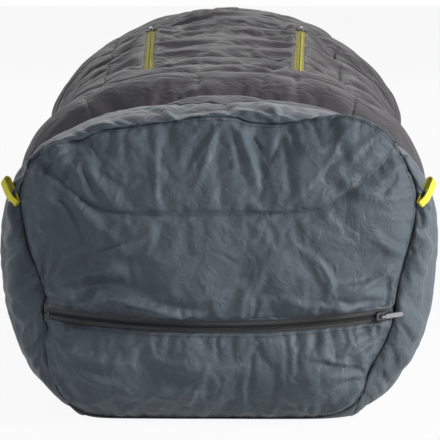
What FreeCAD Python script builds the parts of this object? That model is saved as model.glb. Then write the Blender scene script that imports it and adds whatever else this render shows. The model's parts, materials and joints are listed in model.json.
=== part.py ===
"""Camp quilt with a closed, zip-vented footbox and two lengthwise vent zips, lying lofted on its hems.

Frame: +Z up, the foot end faces -Y, the head end +Y, and X runs across. The origin is under the middle
of the quilt on the surface that it lies on. All sizes are millimetres.

The walls are layered: an outer shell, a batt of insulation and a liner. Every layer is drawn between two
offsets of the same outline, so the layers touch and never cross.
"""

import FreeCAD
import Part

import math
import os

from FreeCAD import Matrix, Placement, Vector

# ---- Driving dimensions ----------------------------------------------------------------------------

CHEST_HALF = 308.0  # half of the widest width
HEIGHT = 392.0  # lofted, over the chest
BODY_LENGTH = 1855.0  # perimeter seam to the neck hem
CROWN = 45.0  # how far the end panel bulges past its perimeter seam
NECK_HEM_DEPTH = 8.0
SLATE_BAND = 140.0  # depth of the footbox wrap behind the perimeter seam
FOOTBOX_FLOOR = 450.0  # depth of the closed floor behind the perimeter seam

SKIN = 1.2  # shell or liner, drawn thick enough to mesh
WALL = 30.0  # shell, insulation and liner together
PANEL_SPLIT = 35.0  # degrees above the widest line where side and top panels meet
TOE = 40.0  # how far the side panels tuck in along the ground
HEM_WIDTH = 4.0
CURVE_POINTS = 7  # points on a curved edge of a panel

# The outline at distances behind the perimeter seam. After the distance come the half width as a share of
# CHEST_HALF; as shares of HEIGHT, its top, its widest line and how deep it curves below that line; and its
# roundness below and above that line: 2 is an ellipse, more is squarer and less is more pointed.
OUTLINE_SHARES = [
    (0.0, 0.659, 0.809, 0.566, 0.648, 2.4, 2.4),
    (20.0, 0.708, 0.824, 0.523, 0.592, 2.7, 2.4),
    (60.0, 0.744, 0.837, 0.485, 0.531, 3.0, 2.4),
    (SLATE_BAND, 0.750, 0.829, 0.485, 0.531, 3.0, 2.4),
    (FOOTBOX_FLOOR, 0.753, 0.829, 0.485, 0.533, 3.0, 2.4),
    (600.0, 0.780, 0.839, 0.485, 0.537, 3.0, 2.35),
    (1300.0, 1.0, 1.0, 0.510, 0.599, 2.8, 1.75),
    (1450.0, 1.0, 0.990, 0.508, 0.597, 2.8, 1.8),
    (1600.0, 0.974, 0.949, 0.497, 0.587, 2.8, 1.9),
    (1740.0, 0.935, 0.898, 0.485, 0.570, 2.8, 2.0),
    (BODY_LENGTH, 0.883, 0.842, 0.472, 0.548, 2.8, 2.1),
]
# The end panel's dome shrinks the outline towards a point at this height. It bulges by one less the shrunk
# size to this power, until the last size, where the dome is flat.
DOME_CENTRE_HEIGHT = 160.0
DOME_POWER = 2.4
DOME_SIZES = [1.0, 0.95, 0.88, 0.75, 0.55, 0.3]

# Zips
TAPE_THICK = 0.8
TAPE_HALF = 8.0  # half the width of a closed pair of tapes
CHAIN_GAP = 0.9  # between the two rows of coil, for the slider's web
COIL_RADIUS = 1.05
STOP_LENGTH = 3.0
RUN_CLEARANCE = 0.4  # slider to coil and tape
ZIP_END_MARGIN = 7.0  # tape past the coil
FOOT_ZIP_SEAM_MARGIN = 24.0  # from the widest line of the perimeter seam
FOOT_ZIP_END_HEIGHT = 118.0
FOOT_ZIP_MIDDLE_HEIGHT = 111.0
FOOT_ZIP_INSET = 3.0  # below the dome's surface
FLAP_THICK = 9.0
FLAP_HALF = 22.0
FLAP_REACH = 0.72  # share of the foot zip that the draft flap backs
VENT_START = 600.0  # behind the perimeter seam
VENT_LENGTH = 550.0
VENT_ANGLE = 52.0  # degrees round the outline from the widest line
VENT_BACKING = 3.0  # insulation left behind a vent

# Sliders and pullers
SLIDER_LENGTH = 12.0
SLIDER_HALF = 4.4
SLIDER_STOP_GAP = 1.0
PLATE = 1.2
FLANGE = 1.3
WEB = 0.5
LUG_HEIGHT = 3.2
LUG_THICK = 0.9
PIN_RADIUS = 0.7
PIN_CLEARANCE = 0.06
EYE_RADIUS = 1.55
EYE_SIDE_CLEARANCE = 0.2
PULLER_LENGTH = 23.0
PULLER_HALF = 2.4
PULLER_THICK = 1.5

# Hang loops and trims
WEBBING_WIDTH = 10.0
WEBBING_THICK = 1.6
LOOP_GAP = 8.0
LOOP_LENGTH = 32.0
LOOP_HEIGHT = 230.0
LOOP_STAND_OFF = 1.5
LOOP_RISE = 50.0  # degrees above the horizontal
BINDING = 4.0
LABEL = (42.0, 14.0, 1.0)
LABEL_AT = 1345.0
LABEL_LIFT = 0.4

# ---- Outlines --------------------------------------------------------------------------------------

LENGTH = CROWN + BODY_LENGTH + NECK_HEM_DEPTH
Y_SEAM = CROWN - LENGTH / 2
PARTS = "parts"
OUTLINES = []
for place, wide, top, middle, below, *round_by in OUTLINE_SHARES:
    OUTLINES.append((place, wide * CHEST_HALF, top * HEIGHT, middle * HEIGHT, below * HEIGHT, *round_by))


def outline_at(distance):
    """The outline's sizes at a distance behind the perimeter seam, between the stated ones."""
    if distance <= 0:
        return (distance,) + OUTLINES[0][1:]
    for low, high in zip(OUTLINES, OUTLINES[1:]):
        if distance <= high[0]:
            share = (distance - low[0]) / (high[0] - low[0])
            return tuple(a + share * (b - a) for a, b in zip(low, high))
    return (distance,) + OUTLINES[-1][1:]


def on_outline(outline, offset, angle):
    """The point at an angle round the outline, an offset in from the outside."""
    distance, half, height, widest, depth, low, high = outline
    cosine, sine = math.cos(angle), math.sin(angle)
    rise, power = (height - widest, high) if sine >= 0 else (depth, low)
    size = (abs(cosine) / (half - offset)) ** power + (abs(sine) / (rise - offset)) ** power
    radius = size ** (-1 / power)
    return Vector(radius * cosine, Y_SEAM + distance, widest + radius * sine)


def floor_half(outline, offset):
    """Half the width of the outline where it meets the ground, or the same offset above it."""
    _, half, _, widest, depth, low, _ = outline
    share = ((widest - offset) / (depth - offset)) ** low
    return (half - offset) * (1 - share) ** (1 / low)


def floor_angle(outline, offset):
    """The angle at which the outline meets the ground."""
    return math.atan2(-(outline[3] - offset), floor_half(outline, offset))


def curve(points):
    """A smooth edge through points."""
    spline = Part.BSplineCurve()
    spline.interpolate(points)
    return spline.toShape()


def arch(outline, offset, start, stop, count=CURVE_POINTS):
    """The outline's points from one angle to another."""
    steps = [start + (stop - start) * i / (count - 1) for i in range(count)]
    return [on_outline(outline, offset, a) for a in steps]


def loop_of(*runs):
    """A closed wire: a run of two points is a straight edge, and a longer run is a smooth one."""
    edges = []
    for run in runs:
        edges.append(Part.LineSegment(*run).toShape() if len(run) == 2 else curve(run))
    return Part.Wire(edges)


def loft(wires):
    return Part.makeLoft(wires, True, True)


def distances(start, stop):
    """The stated outlines' and the vents' distances between two others, with both ends."""
    stated = {o[0] for o in OUTLINES} | {VENT_START, VENT_START + VENT_LENGTH}
    return [start] + sorted(d for d in stated if start < d < stop) + [stop]


# ---- Panels ----------------------------------------------------------------------------------------


def top_section(outline, outer, inner):
    """The wall over the top, between the two panel seams."""
    start, stop = math.radians(PANEL_SPLIT), math.radians(180 - PANEL_SPLIT)
    out, back = arch(outline, outer, start, stop), arch(outline, inner, stop, start)
    return loop_of(out, [out[-1], back[0]], back, [back[-1], out[0]])


def side_section(outline, outer, inner):
    """The right-hand wall, from the panel seam down and in along the ground."""
    split = math.radians(PANEL_SPLIT)
    out = arch(outline, outer, floor_angle(outline, outer), split)
    back = arch(outline, inner, split, floor_angle(outline, inner))
    toe = floor_half(outline, 0) - TOE
    low = Vector(toe, out[0].y, outer)
    high = Vector(toe, out[0].y, inner)
    return loop_of([low, out[0]], out, [out[-1], back[0]], back, [back[-1], high], [high, low])


def short_side_section(outline, outer, inner):
    """The right-hand wall, from the panel seam down to the ground."""
    split = math.radians(PANEL_SPLIT)
    out = arch(outline, outer, floor_angle(outline, outer), split)
    back = arch(outline, inner, split, floor_angle(outline, inner))
    return loop_of(out, [out[-1], back[0]], back, [back[-1], out[0]])


def wrap_section(outline, outer, inner):
    """The footbox's wall from one edge of its floor, over the top, to the other."""
    ends = [floor_angle(outline, o) for o in (outer, inner)]
    count = 2 * CURVE_POINTS
    out = arch(outline, outer, ends[0], math.pi - ends[0], count)
    back = arch(outline, inner, math.pi - ends[1], ends[1], count)
    return loop_of(out, [out[-1], back[0]], back, [back[-1], out[0]])


def floor_section(outline, outer, inner):
    """The footbox's floor, whose slanting sides meet the wrap. The outermost layer starts underground."""
    y = Y_SEAM + outline[0]
    high = Vector(floor_half(outline, inner), y, inner)
    low = Vector(floor_half(outline, outer), y, outer)
    if outer == 0:
        low = low + (low - high)
    corners = [Vector(-low.x, y, low.z), low, high, Vector(-high.x, y, high.z)]
    return Part.makePolygon(corners + corners[:1])


def mouth_section(outline, outer, inner):
    """The whole wall of the open body, from toe to toe."""
    ends = [floor_angle(outline, o) for o in (outer, inner)]
    count = 3 * CURVE_POINTS
    out = arch(outline, outer, ends[0], math.pi - ends[0], count)
    back = arch(outline, inner, math.pi - ends[1], ends[1], count)
    toe, y = floor_half(outline, 0) - TOE, out[0].y
    right = [Vector(toe, y, inner), Vector(toe, y, outer)]
    left = [Vector(-toe, y, outer), Vector(-toe, y, inner)]
    over = [out, [out[-1], left[0]], left, [left[1], back[0]]]
    under = [back, [back[-1], right[0]], right, [right[1], out[0]]]
    return loop_of(*over, *under)


def hem_section(outline, outer, inner):
    """The binding on the right-hand edge of the open body."""
    toe, y = floor_half(outline, 0) - TOE, Y_SEAM + outline[0]
    low, high = Vector(toe - HEM_WIDTH, y, outer), Vector(toe, y, inner)
    corners = [low, Vector(high.x, y, low.z), high, Vector(low.x, y, high.z)]
    return Part.makePolygon(corners + corners[:1])


def panel(section, start, stop, outer, inner):
    """A layer of one panel, between two distances behind the perimeter seam."""
    return loft([section(outline_at(d), outer, inner) for d in distances(start, stop)])


def layers(section, start, stop):
    """Shell, insulation and liner of one panel."""
    cuts = [0.0, SKIN, WALL - SKIN, WALL]
    names = ("shell", "insulation", "liner")
    return {name: panel(section, start, stop, a, b) for name, a, b in zip(names, cuts, cuts[1:])}


def mirrored(shape):
    return shape.mirror(Vector(0, 0, 0), Vector(1, 0, 0))


def bulge(size):
    """The share of CROWN that the dome reaches where the outline has shrunk to a size."""
    last = DOME_SIZES[-1]
    return min(1.0, (1 - size**DOME_POWER) / (1 - last**DOME_POWER))


def dome(offset):
    """The closed end's bulge, an offset in from its outside, with a straight stretch into the body."""
    seam = OUTLINES[0]
    start = floor_angle(seam, offset)
    points = arch(seam, offset, start, math.pi - start, 2 * CURVE_POINTS)
    centre = DOME_CENTRE_HEIGHT
    rings = [(Y_SEAM + 2 * WALL, 1.0)]
    for size in DOME_SIZES:
        rings.append((Y_SEAM - bulge(size) * (CROWN - offset), size))
    wires = []
    for y, size in rings:
        ring = [Vector(p.x * size, y, centre + (p.z - centre) * size) for p in points]
        wires.append(loop_of(ring, [ring[-1], ring[0]]))
    return loft(wires)


def on_dome(x, z):
    """The point of the end panel's outside at a place across and a height."""
    _, half, height, widest, depth, low, high = OUTLINES[0]
    small, large = 0.01, 1.0
    for _ in range(40):
        size = (small + large) / 2
        rise = DOME_CENTRE_HEIGHT + (z - DOME_CENTRE_HEIGHT) / size - widest
        limit, power = (height - widest, high) if rise > 0 else (depth, low)
        if (abs(x) / size / half) ** power + (abs(rise) / limit) ** power > 1:
            small = size
        else:
            large = size
    return Vector(x, Y_SEAM - bulge(large) * CROWN, z)


def end_panel_layers(slot, zip_path):
    """The end panel's shell, insulation and liner, each cut by the zip into an upper and a lower piece."""
    in_front = Part.makeBox(2000, 1000, 2000, Vector(-1000, Y_SEAM - 1000, -1000))
    above = zip_path.side_of_plane(1)
    cuts = [0.0, SKIN, WALL - SKIN, WALL, WALL + FLAP_THICK]
    domes = [dome(o) for o in cuts]
    pieces = {}
    for name, big, small in zip(("shell", "insulation", "liner"), domes, domes[1:]):
        ring = big.cut(small).common(in_front).cut(slot)
        pieces["foot_panel_upper_" + name] = largest(ring.common(above))
        pieces["foot_panel_lower_" + name] = largest(ring.cut(above))
    # The draft flap lies against the liner behind the zip.
    reach = zip_path.half * FLAP_REACH
    band = zip_path.sweep(rectangle((-FLAP_HALF, FLAP_HALF), (-3 * WALL, WALL)), -reach, reach)
    flap = domes[-2].cut(domes[-1]).common(in_front).common(band)
    pieces["foot_zip_draft_flap"] = largest(flap)
    return pieces


def largest(shape):
    return max(shape.Solids, key=lambda s: s.Volume)


# ---- Zip paths -------------------------------------------------------------------------------------


class ArcPath:
    """A zip along a circular arc. Stations are angles in degrees from its middle."""

    def __init__(self, end, middle):
        chord_middle = Vector(0, end.y, end.z)
        rise = middle - chord_middle
        self.radius = (end.x**2 + rise.Length**2) / (2 * rise.Length)
        self.out = rise.normalize()
        self.centre = middle - self.out * self.radius
        self.across = Vector(1, 0, 0).cross(self.out) * -1
        self.half = math.degrees(math.asin(end.x / self.radius))

    def degrees(self, length):
        return math.degrees(length / self.radius)

    def frame(self, station):
        """Where the tape's middle is, with the directions along, across and out of the zip."""
        angle = math.radians(station)
        out = Vector(1, 0, 0) * math.sin(angle) + self.out * math.cos(angle)
        along = Vector(1, 0, 0) * math.cos(angle) - self.out * math.sin(angle)
        return self.centre + out * self.radius, along, self.across, out

    def sweep(self, face_of, start, stop):
        """Turns a section, made at the first station, through to the second."""
        return face_of(*self.frame(start)).revolve(self.centre, self.turn_axis(), stop - start)

    def turn_axis(self):
        """The axis about which a turn moves from low stations to high ones."""
        return self.out.cross(Vector(1, 0, 0))

    def side_of_plane(self, sign):
        """A large block on one side of the arc's plane."""
        block = Part.makeBox(2000, 2000, 1000, Vector(-1000, -1000, 0))
        up = self.across * sign
        along = Vector(1, 0, 0)
        block.Placement = placement(self.centre, along, up.cross(along), up)
        return block


class LinePath:
    """A straight zip. Stations are millimetres from its start."""

    def __init__(self, start, stop, out):
        self.start = start
        self.along = (stop - start).normalize()
        self.across = out.cross(self.along).normalize()
        self.out = self.along.cross(self.across)

    def frame(self, station):
        return self.start + self.along * station, self.along, self.across, self.out

    def sweep(self, face_of, start, stop):
        return face_of(*self.frame(start)).extrude(self.along * (stop - start))


def placement(origin, x, y, z):
    return Placement(
        Matrix(x.x, y.x, z.x, origin.x, x.y, y.y, z.y, origin.y, x.z, y.z, z.z, origin.z, 0, 0, 0, 1)
    )


def rectangle(across, out):
    """A section that spans two ranges, across and out of a zip."""

    def face_of(origin, along, side, up):
        corners = [(across[0], out[0]), (across[1], out[0]), (across[1], out[1]), (across[0], out[1])]
        points = [origin + side * a + up * o for a, o in corners]
        return Part.Face(Part.makePolygon(points + points[:1]))

    return face_of


def disc(across, out, radius):
    def face_of(origin, along, side, up):
        circle = Part.Circle(origin + side * across + up * out, along, radius)
        return Part.Face(Part.Wire(circle.toShape()))

    return face_of


TAPE_TOP = TAPE_THICK / 2
COIL_ACROSS = CHAIN_GAP / 2 + COIL_RADIUS
COIL_OUT = TAPE_TOP + COIL_RADIUS
CHAIN_TOP = TAPE_TOP + 2 * COIL_RADIUS


def zip_chain(path, start, stop, margin, stop_length):
    """Both tapes, both rows of coil and the end stops of a closed zip."""
    inner = CHAIN_GAP / 2
    sides = {}
    for name, sign in (("a", 1), ("b", -1)):
        band = sorted((sign * inner, sign * TAPE_HALF))
        tape = path.sweep(rectangle(band, (-TAPE_TOP, TAPE_TOP)), start, stop)
        coil = path.sweep(disc(sign * COIL_ACROSS, COIL_OUT, COIL_RADIUS), start + margin, stop - margin)
        sides[name] = (tape, coil)
    blocks = []
    block = rectangle((-COIL_ACROSS - COIL_RADIUS, COIL_ACROSS + COIL_RADIUS), (TAPE_TOP, CHAIN_TOP))
    for at in (start + margin - stop_length, stop - margin):
        blocks.append(path.sweep(block, at, at + stop_length))
    return sides["a"], sides["b"], Part.makeCompound(blocks)


# ---- Slider and puller, drawn with X along the zip, Y across it and Z out of it ----------------------

PLATE_LOW = CHAIN_TOP + RUN_CLEARANCE
PLATE_TOP = PLATE_LOW + PLATE
UNDER_TOP = -TAPE_TOP - RUN_CLEARANCE
EYE_HALF = LUG_THICK + EYE_SIDE_CLEARANCE
LUG_INNER = EYE_HALF + EYE_SIDE_CLEARANCE
PIN_OUT = PLATE_TOP + EYE_RADIUS + EYE_SIDE_CLEARANCE


def box(x, y, z):
    return Part.makeBox(x[1] - x[0], y[1] - y[0], z[1] - z[0], Vector(x[0], y[0], z[0]))


def rounded_plate(half_length, half_width, low, high, corner):
    """A flat plate with round corners."""
    plate = box((-half_length, half_length), (-half_width, half_width), (low, high))
    upright = [e for e in plate.Edges if abs(e.tangentAt(e.FirstParameter).z) > 0.99]
    return plate.makeFillet(corner, upright)


def slider():
    """A coil-zip slider: two plates, side flanges, the web between them, and lugs with the puller's pin."""
    half = SLIDER_LENGTH / 2
    corner = SLIDER_HALF / 2
    body = rounded_plate(half, SLIDER_HALF, PLATE_LOW, PLATE_TOP, corner)
    under = rounded_plate(half, SLIDER_HALF - 0.3, UNDER_TOP - PLATE, UNDER_TOP, corner)
    web = box((half / 3, half * 0.8), (-WEB / 2, WEB / 2), (UNDER_TOP - PLATE / 2, PLATE_LOW + PLATE / 2))
    shape = body.fuse([under, web])
    for sign in (1, -1):
        edge = sorted((sign * (SLIDER_HALF - FLANGE), sign * SLIDER_HALF))
        flange = box((-half + corner, half - corner), edge, (TAPE_TOP + RUN_CLEARANCE, PLATE_LOW + PLATE / 2))
        lug_at = sorted((sign * LUG_INNER, sign * (LUG_INNER + LUG_THICK)))
        lug = box((-EYE_RADIUS, EYE_RADIUS), lug_at, (PLATE_TOP - PLATE / 2, PLATE_TOP + LUG_HEIGHT))
        shape = shape.fuse([flange, lug])
    pin = Part.makeCylinder(PIN_RADIUS, 2 * LUG_INNER, Vector(0, -LUG_INNER, PIN_OUT), Vector(0, 1, 0))
    return shape.fuse(pin).removeSplitter().Solids[0]


def puller():
    """The pull tab: an eye round the slider's pin, a neck and a flat grip that ends round."""
    eye = Part.makeCylinder(EYE_RADIUS, 2 * EYE_HALF, Vector(0, -EYE_HALF, PIN_OUT), Vector(0, 1, 0))
    thick = (PIN_OUT - PULLER_THICK / 2, PIN_OUT + PULLER_THICK / 2)
    neck = box((0, EYE_RADIUS * 3), (-EYE_HALF, EYE_HALF), thick)
    grip_start = EYE_RADIUS * 2.4
    grip_end = PULLER_LENGTH - PULLER_HALF
    grip = box((grip_start, grip_end), (-PULLER_HALF, PULLER_HALF), thick)
    tip = Part.makeCylinder(PULLER_HALF, PULLER_THICK, Vector(grip_end, 0, thick[0]))
    bore = Part.makeCylinder(
        PIN_RADIUS + PIN_CLEARANCE, 4 * EYE_HALF, Vector(0, -2 * EYE_HALF, PIN_OUT), Vector(0, 1, 0)
    )
    return eye.fuse([neck, grip, tip]).cut(bore).removeSplitter().Solids[0]


def placed(shape, frame):
    shape.Placement = placement(*frame)
    return shape


# ---- Hang loops ------------------------------------------------------------------------------------


def loop_frame():
    """The right-hand loop's root on the perimeter seam, and its length, width and outward directions."""
    seam, behind = OUTLINES[0], OUTLINES[1]
    angle = math.atan2(LOOP_HEIGHT - seam[3], seam[1])
    root = on_outline(seam, 0, angle)
    back = on_outline(behind, 0, angle) - root
    back = Vector(back.x, back.y, 0).normalize()
    up = Vector(0, 0, 1)
    normal = back.cross(up).normalize()
    rise = math.radians(LOOP_RISE)
    length = back * math.cos(rise) + normal.cross(back) * math.sin(rise)
    return root + normal * LOOP_STAND_OFF, length, normal.cross(length), normal


def hang_loop():
    """A folded length of webbing, drawn with X along it, Y across it and Z away from the quilt."""
    radius = LOOP_GAP / 2 + WEBBING_THICK
    half = WEBBING_WIDTH / 2
    centre = Vector(LOOP_LENGTH - radius, -half, radius)
    wide = Vector(0, 1, 0)
    outer = Part.makeCylinder(radius, WEBBING_WIDTH, centre, wide)
    outer = outer.fuse(box((0, centre.x), (-half, half), (0, 2 * radius)))
    hole = Part.makeCylinder(LOOP_GAP / 2, WEBBING_WIDTH, centre, wide)
    tail = WEBBING_WIDTH / 2
    hole = hole.fuse(box((tail, centre.x), (-half, half), (WEBBING_THICK, WEBBING_THICK + LOOP_GAP)))
    # The two plies close to one tail at the seam.
    wedge = Part.makePolygon(
        [Vector(0, -half, 2 * WEBBING_THICK), Vector(tail, -half, 2 * radius), Vector(0, -half, 2 * radius),
         Vector(0, -half, 2 * WEBBING_THICK)]
    )
    corner = Part.Face(wedge).extrude(wide * WEBBING_WIDTH)
    return outer.cut(hole).cut(corner).removeSplitter().Solids[0]


# ---- Assembly --------------------------------------------------------------------------------------


def save(name, shape):
    """Writes one node, after testing that it is made of closed solids."""
    solids = shape.Solids
    if not solids or not all(s.isValid() and s.isClosed() and s.Volume > 0 for s in solids):
        raise RuntimeError(name + " is not closed and valid")
    out = solids[0] if len(solids) == 1 else Part.makeCompound(solids)
    out.exportStep(os.path.join(PARTS, name + ".step"))
    size = out.BoundBox
    print("%-30s %d solid(s) %9.0f mm3  z %6.1f" % (name, len(solids), out.Volume, size.ZMin))


def foot_zip_path():
    """The foot zip's arc, just under the dome's surface."""
    inset = Vector(0, FOOT_ZIP_INSET, 0)
    end = on_dome(OUTLINES[0][1] - FOOT_ZIP_SEAM_MARGIN, FOOT_ZIP_END_HEIGHT)
    return ArcPath(end + inset, on_dome(0.0, FOOT_ZIP_MIDDLE_HEIGHT) + inset)


def build_footbox(foot_zip):
    reach = foot_zip.half
    slot = foot_zip.sweep(rectangle((-TAPE_HALF, TAPE_HALF), (-2 * WALL, WALL)), -reach, reach)
    for name, shape in end_panel_layers(slot, foot_zip).items():
        save(name, shape)
    for name, shape in layers(wrap_section, 0, SLATE_BAND).items():
        save("footbox_wrap_" + name, shape)
    underground = Part.makeBox(2000, 4000, 100, Vector(-1000, -2000, -100))
    for name, shape in layers(floor_section, 0, FOOTBOX_FLOOR).items():
        save("footbox_floor_" + name, shape.cut(underground))
    toe = floor_half(outline_at(FOOTBOX_FLOOR), 0) - TOE - HEM_WIDTH
    y = Y_SEAM + FOOTBOX_FLOOR
    save("footbox_floor_hem", box((-toe, toe), (y, y + HEM_WIDTH), (0, WALL)))
    seam = outline_at(0)
    ring = wrap_section(seam, WALL, WALL + BINDING)
    save("foot_seam_binding", Part.Face(ring).extrude(Vector(0, BINDING, 0)))


def build_foot_zip(path):
    margin = path.degrees(ZIP_END_MARGIN)
    upper, lower, stops = zip_chain(path, -path.half, path.half, margin, path.degrees(STOP_LENGTH))
    save("foot_zip_tape_upper", upper[0])
    save("foot_zip_coil_upper", upper[1])
    save("foot_zip_tape_lower", lower[0])
    save("foot_zip_coil_lower", lower[1])
    save("foot_zip_stops", stops)
    closed = path.half - margin - path.degrees(SLIDER_LENGTH / 2 + SLIDER_STOP_GAP)
    frame = path.frame(closed)
    save("foot_zip_slider", placed(slider(), frame))
    save("foot_zip_puller", placed(puller(), frame))
    show("foot slider", frame)
    show("foot zip centre and axis", (path.centre, path.turn_axis()))
    print("foot zip half angle", path.half, "closed at", closed, "pin out", PIN_OUT)


def vent_path():
    """The right-hand vent zip's line, on the outside of the top panel."""
    angle = math.radians(VENT_ANGLE)
    stop_at = VENT_START + VENT_LENGTH
    first, last = (on_outline(outline_at(d), 0, angle) for d in (VENT_START, stop_at))
    beside = on_outline(outline_at(VENT_START), 0, angle + 0.05)
    out = (last - first).cross(beside - first)
    if out.z < 0:
        out = out * -1
    return LinePath(first, last, out.normalize())


def build_body(vent):
    backing = SKIN + VENT_BACKING - WALL
    slot = vent.sweep(rectangle((-TAPE_HALF, TAPE_HALF), (backing, WALL)), 0, VENT_LENGTH)
    slots = [slot, mirrored(slot)]
    for name, shape in layers(top_section, SLATE_BAND, BODY_LENGTH).items():
        open_top = shape if name == "liner" else shape.cut(slots)
        save("top_panel_" + name, largest(open_top))
    # Beside the footbox's floor the side walls end on the floor's slanting edges and have no toe.
    front = layers(short_side_section, SLATE_BAND, FOOTBOX_FLOOR)
    for name, shape in layers(side_section, FOOTBOX_FLOOR, BODY_LENGTH).items():
        whole = largest(shape.fuse(front[name]).removeSplitter())
        save("side_panel_right_" + name, whole)
        save("side_panel_left_" + name, mirrored(whole))
    hem = panel(hem_section, FOOTBOX_FLOOR, BODY_LENGTH, 0, WALL)
    save("side_hem_right", hem)
    save("side_hem_left", mirrored(hem))
    mouth = mouth_section(outline_at(BODY_LENGTH), 0, WALL)
    save("neck_hem", Part.Face(mouth).extrude(Vector(0, NECK_HEM_DEPTH, 0)))


def build_vents(path):
    inner, outer, stops = zip_chain(path, 0, VENT_LENGTH, ZIP_END_MARGIN, STOP_LENGTH)
    closed = VENT_LENGTH - ZIP_END_MARGIN - SLIDER_LENGTH / 2 - SLIDER_STOP_GAP
    frame = path.frame(closed)
    pieces = {
        "tape_inner": inner[0],
        "coil_inner": inner[1],
        "tape_outer": outer[0],
        "coil_outer": outer[1],
        "stops": stops,
        "slider": placed(slider(), frame),
        "puller": placed(puller(), frame),
    }
    for name, shape in pieces.items():
        save("vent_right_" + name, shape)
        save("vent_left_" + name, mirrored(shape))
    show("vent slider", frame)
    print("vent closed at", closed)


def build_trim():
    frame = loop_frame()
    loop = placed(hang_loop(), frame)
    save("hang_loop_right", loop)
    save("hang_loop_left", mirrored(loop))
    outline, ahead = outline_at(LABEL_AT), outline_at(LABEL_AT + LABEL[1])
    low, high = on_outline(outline, 0, math.pi / 2), on_outline(ahead, 0, math.pi / 2)
    along = (high - low).normalize()
    across = Vector(1, 0, 0)
    patch = box((-LABEL[0] / 2, LABEL[0] / 2), (0, LABEL[1]), (0, LABEL[2]))
    lift = Vector(0, 0, LABEL_LIFT)
    save("label_patch", placed(patch, (low + lift, across, along, across.cross(along))))
    show("loop", frame)


def show(name, frame):
    print(name, [[round(c, 4) for c in v] for v in frame])


def main():
    os.makedirs(PARTS, exist_ok=True)
    foot_zip = foot_zip_path()
    build_footbox(foot_zip)
    build_foot_zip(foot_zip)
    vent = vent_path()
    build_body(vent)
    build_vents(vent)
    build_trim()


main()
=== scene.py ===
import json
import math

import bmesh
import bpy
import numpy as np
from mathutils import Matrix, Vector
from mathutils.bvhtree import BVHTree
from mathutils.geometry import delaunay_2d_cdt

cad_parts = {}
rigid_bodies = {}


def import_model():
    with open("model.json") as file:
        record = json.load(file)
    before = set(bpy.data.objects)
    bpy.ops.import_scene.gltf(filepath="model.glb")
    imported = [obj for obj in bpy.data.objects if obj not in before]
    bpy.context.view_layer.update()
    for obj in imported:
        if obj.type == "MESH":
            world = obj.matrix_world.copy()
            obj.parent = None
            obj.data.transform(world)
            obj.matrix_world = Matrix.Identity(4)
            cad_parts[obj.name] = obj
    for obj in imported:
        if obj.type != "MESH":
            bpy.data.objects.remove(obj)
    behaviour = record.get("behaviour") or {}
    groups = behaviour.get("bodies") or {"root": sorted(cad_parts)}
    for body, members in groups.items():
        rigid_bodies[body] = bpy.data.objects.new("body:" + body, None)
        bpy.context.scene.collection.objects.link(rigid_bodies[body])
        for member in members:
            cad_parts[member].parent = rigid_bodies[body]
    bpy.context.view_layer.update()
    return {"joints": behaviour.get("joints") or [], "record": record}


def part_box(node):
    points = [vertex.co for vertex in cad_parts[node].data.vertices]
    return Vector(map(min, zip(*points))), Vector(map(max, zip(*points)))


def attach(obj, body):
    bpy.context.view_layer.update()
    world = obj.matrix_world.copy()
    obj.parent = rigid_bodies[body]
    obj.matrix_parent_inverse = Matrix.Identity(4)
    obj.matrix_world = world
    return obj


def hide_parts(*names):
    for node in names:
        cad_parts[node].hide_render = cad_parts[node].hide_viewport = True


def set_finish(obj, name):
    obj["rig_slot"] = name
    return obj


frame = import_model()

# A lofted camp quilt: slate footbox with a curved zip, charcoal body quilted across, two vent zips.
# Everything is in metres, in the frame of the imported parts.

Y_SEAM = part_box("footbox_wrap_shell")[0][1]
Y_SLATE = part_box("footbox_wrap_shell")[1][1]
Y_FLOOR_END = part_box("footbox_floor_shell")[1][1]
Y_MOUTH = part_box("neck_hem")[0][1]
SLATE = Y_SLATE - Y_SEAM
FLOOR_END = Y_FLOOR_END - Y_SEAM
MOUTH = Y_MOUTH - Y_SEAM
WALL = 0.030
SKIN = 0.0012
LINING = 0.0008
TAPE_HALF = 0.008
TAPE_LAP = 0.0012
LYING = 0.0012  # height of a shell's lowest points, so that its thickness stays off the ground
GROUNDED = 0.0008
HEM_GROUNDED = 0.0004
SHELL_FILL = 0.7
LINER_FILL = 0.5
HEM_FILL = 0.4
FLOOR_QUILTING = (0.14, 0.24, 0.34)
BACKWARDS = np.array([0.0, 1.0, 0.0])
UPWARDS = np.array([0.0, 0.0, 1.0])
HANDS = (("right", np.array([1.0, 1.0, 1.0])), ("left", np.array([-1.0, 1.0, 1.0])))

bpy.ops.object.select_all(action="DESELECT")


# ---- Small helpers ---------------------------------------------------------------------------------


def smooth_table(table, at):
    """Every column of a table, smoothly between its rows, at a place in the first column."""
    table = np.asarray(table, float)
    xs = table[:, 0]
    at = float(np.clip(at, xs[0], xs[-1]))
    i = int(np.clip(np.searchsorted(xs, at) - 1, 0, len(xs) - 2))
    x0, x1 = xs[i], xs[i + 1]
    t = (at - x0) / (x1 - x0)

    def slope(k):
        if k == 0:
            return (table[1] - table[0]) / (xs[1] - xs[0])
        if k == len(xs) - 1:
            return (table[-1] - table[-2]) / (xs[-1] - xs[-2])
        a = (table[k] - table[k - 1]) / (xs[k] - xs[k - 1])
        b = (table[k + 1] - table[k]) / (xs[k + 1] - xs[k])
        same = a * b > 0
        return np.where(same, 2 * a * b / np.where(same, a + b, 1.0), 0.0)

    m0, m1 = slope(i) * (x1 - x0), slope(i + 1) * (x1 - x0)
    h = [2 * t**3 - 3 * t**2 + 1, t**3 - 2 * t**2 + t, -2 * t**3 + 3 * t**2, t**3 - t**2]
    return h[0] * table[i] + h[1] * m0 + h[2] * table[i + 1] + h[3] * m1


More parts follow.
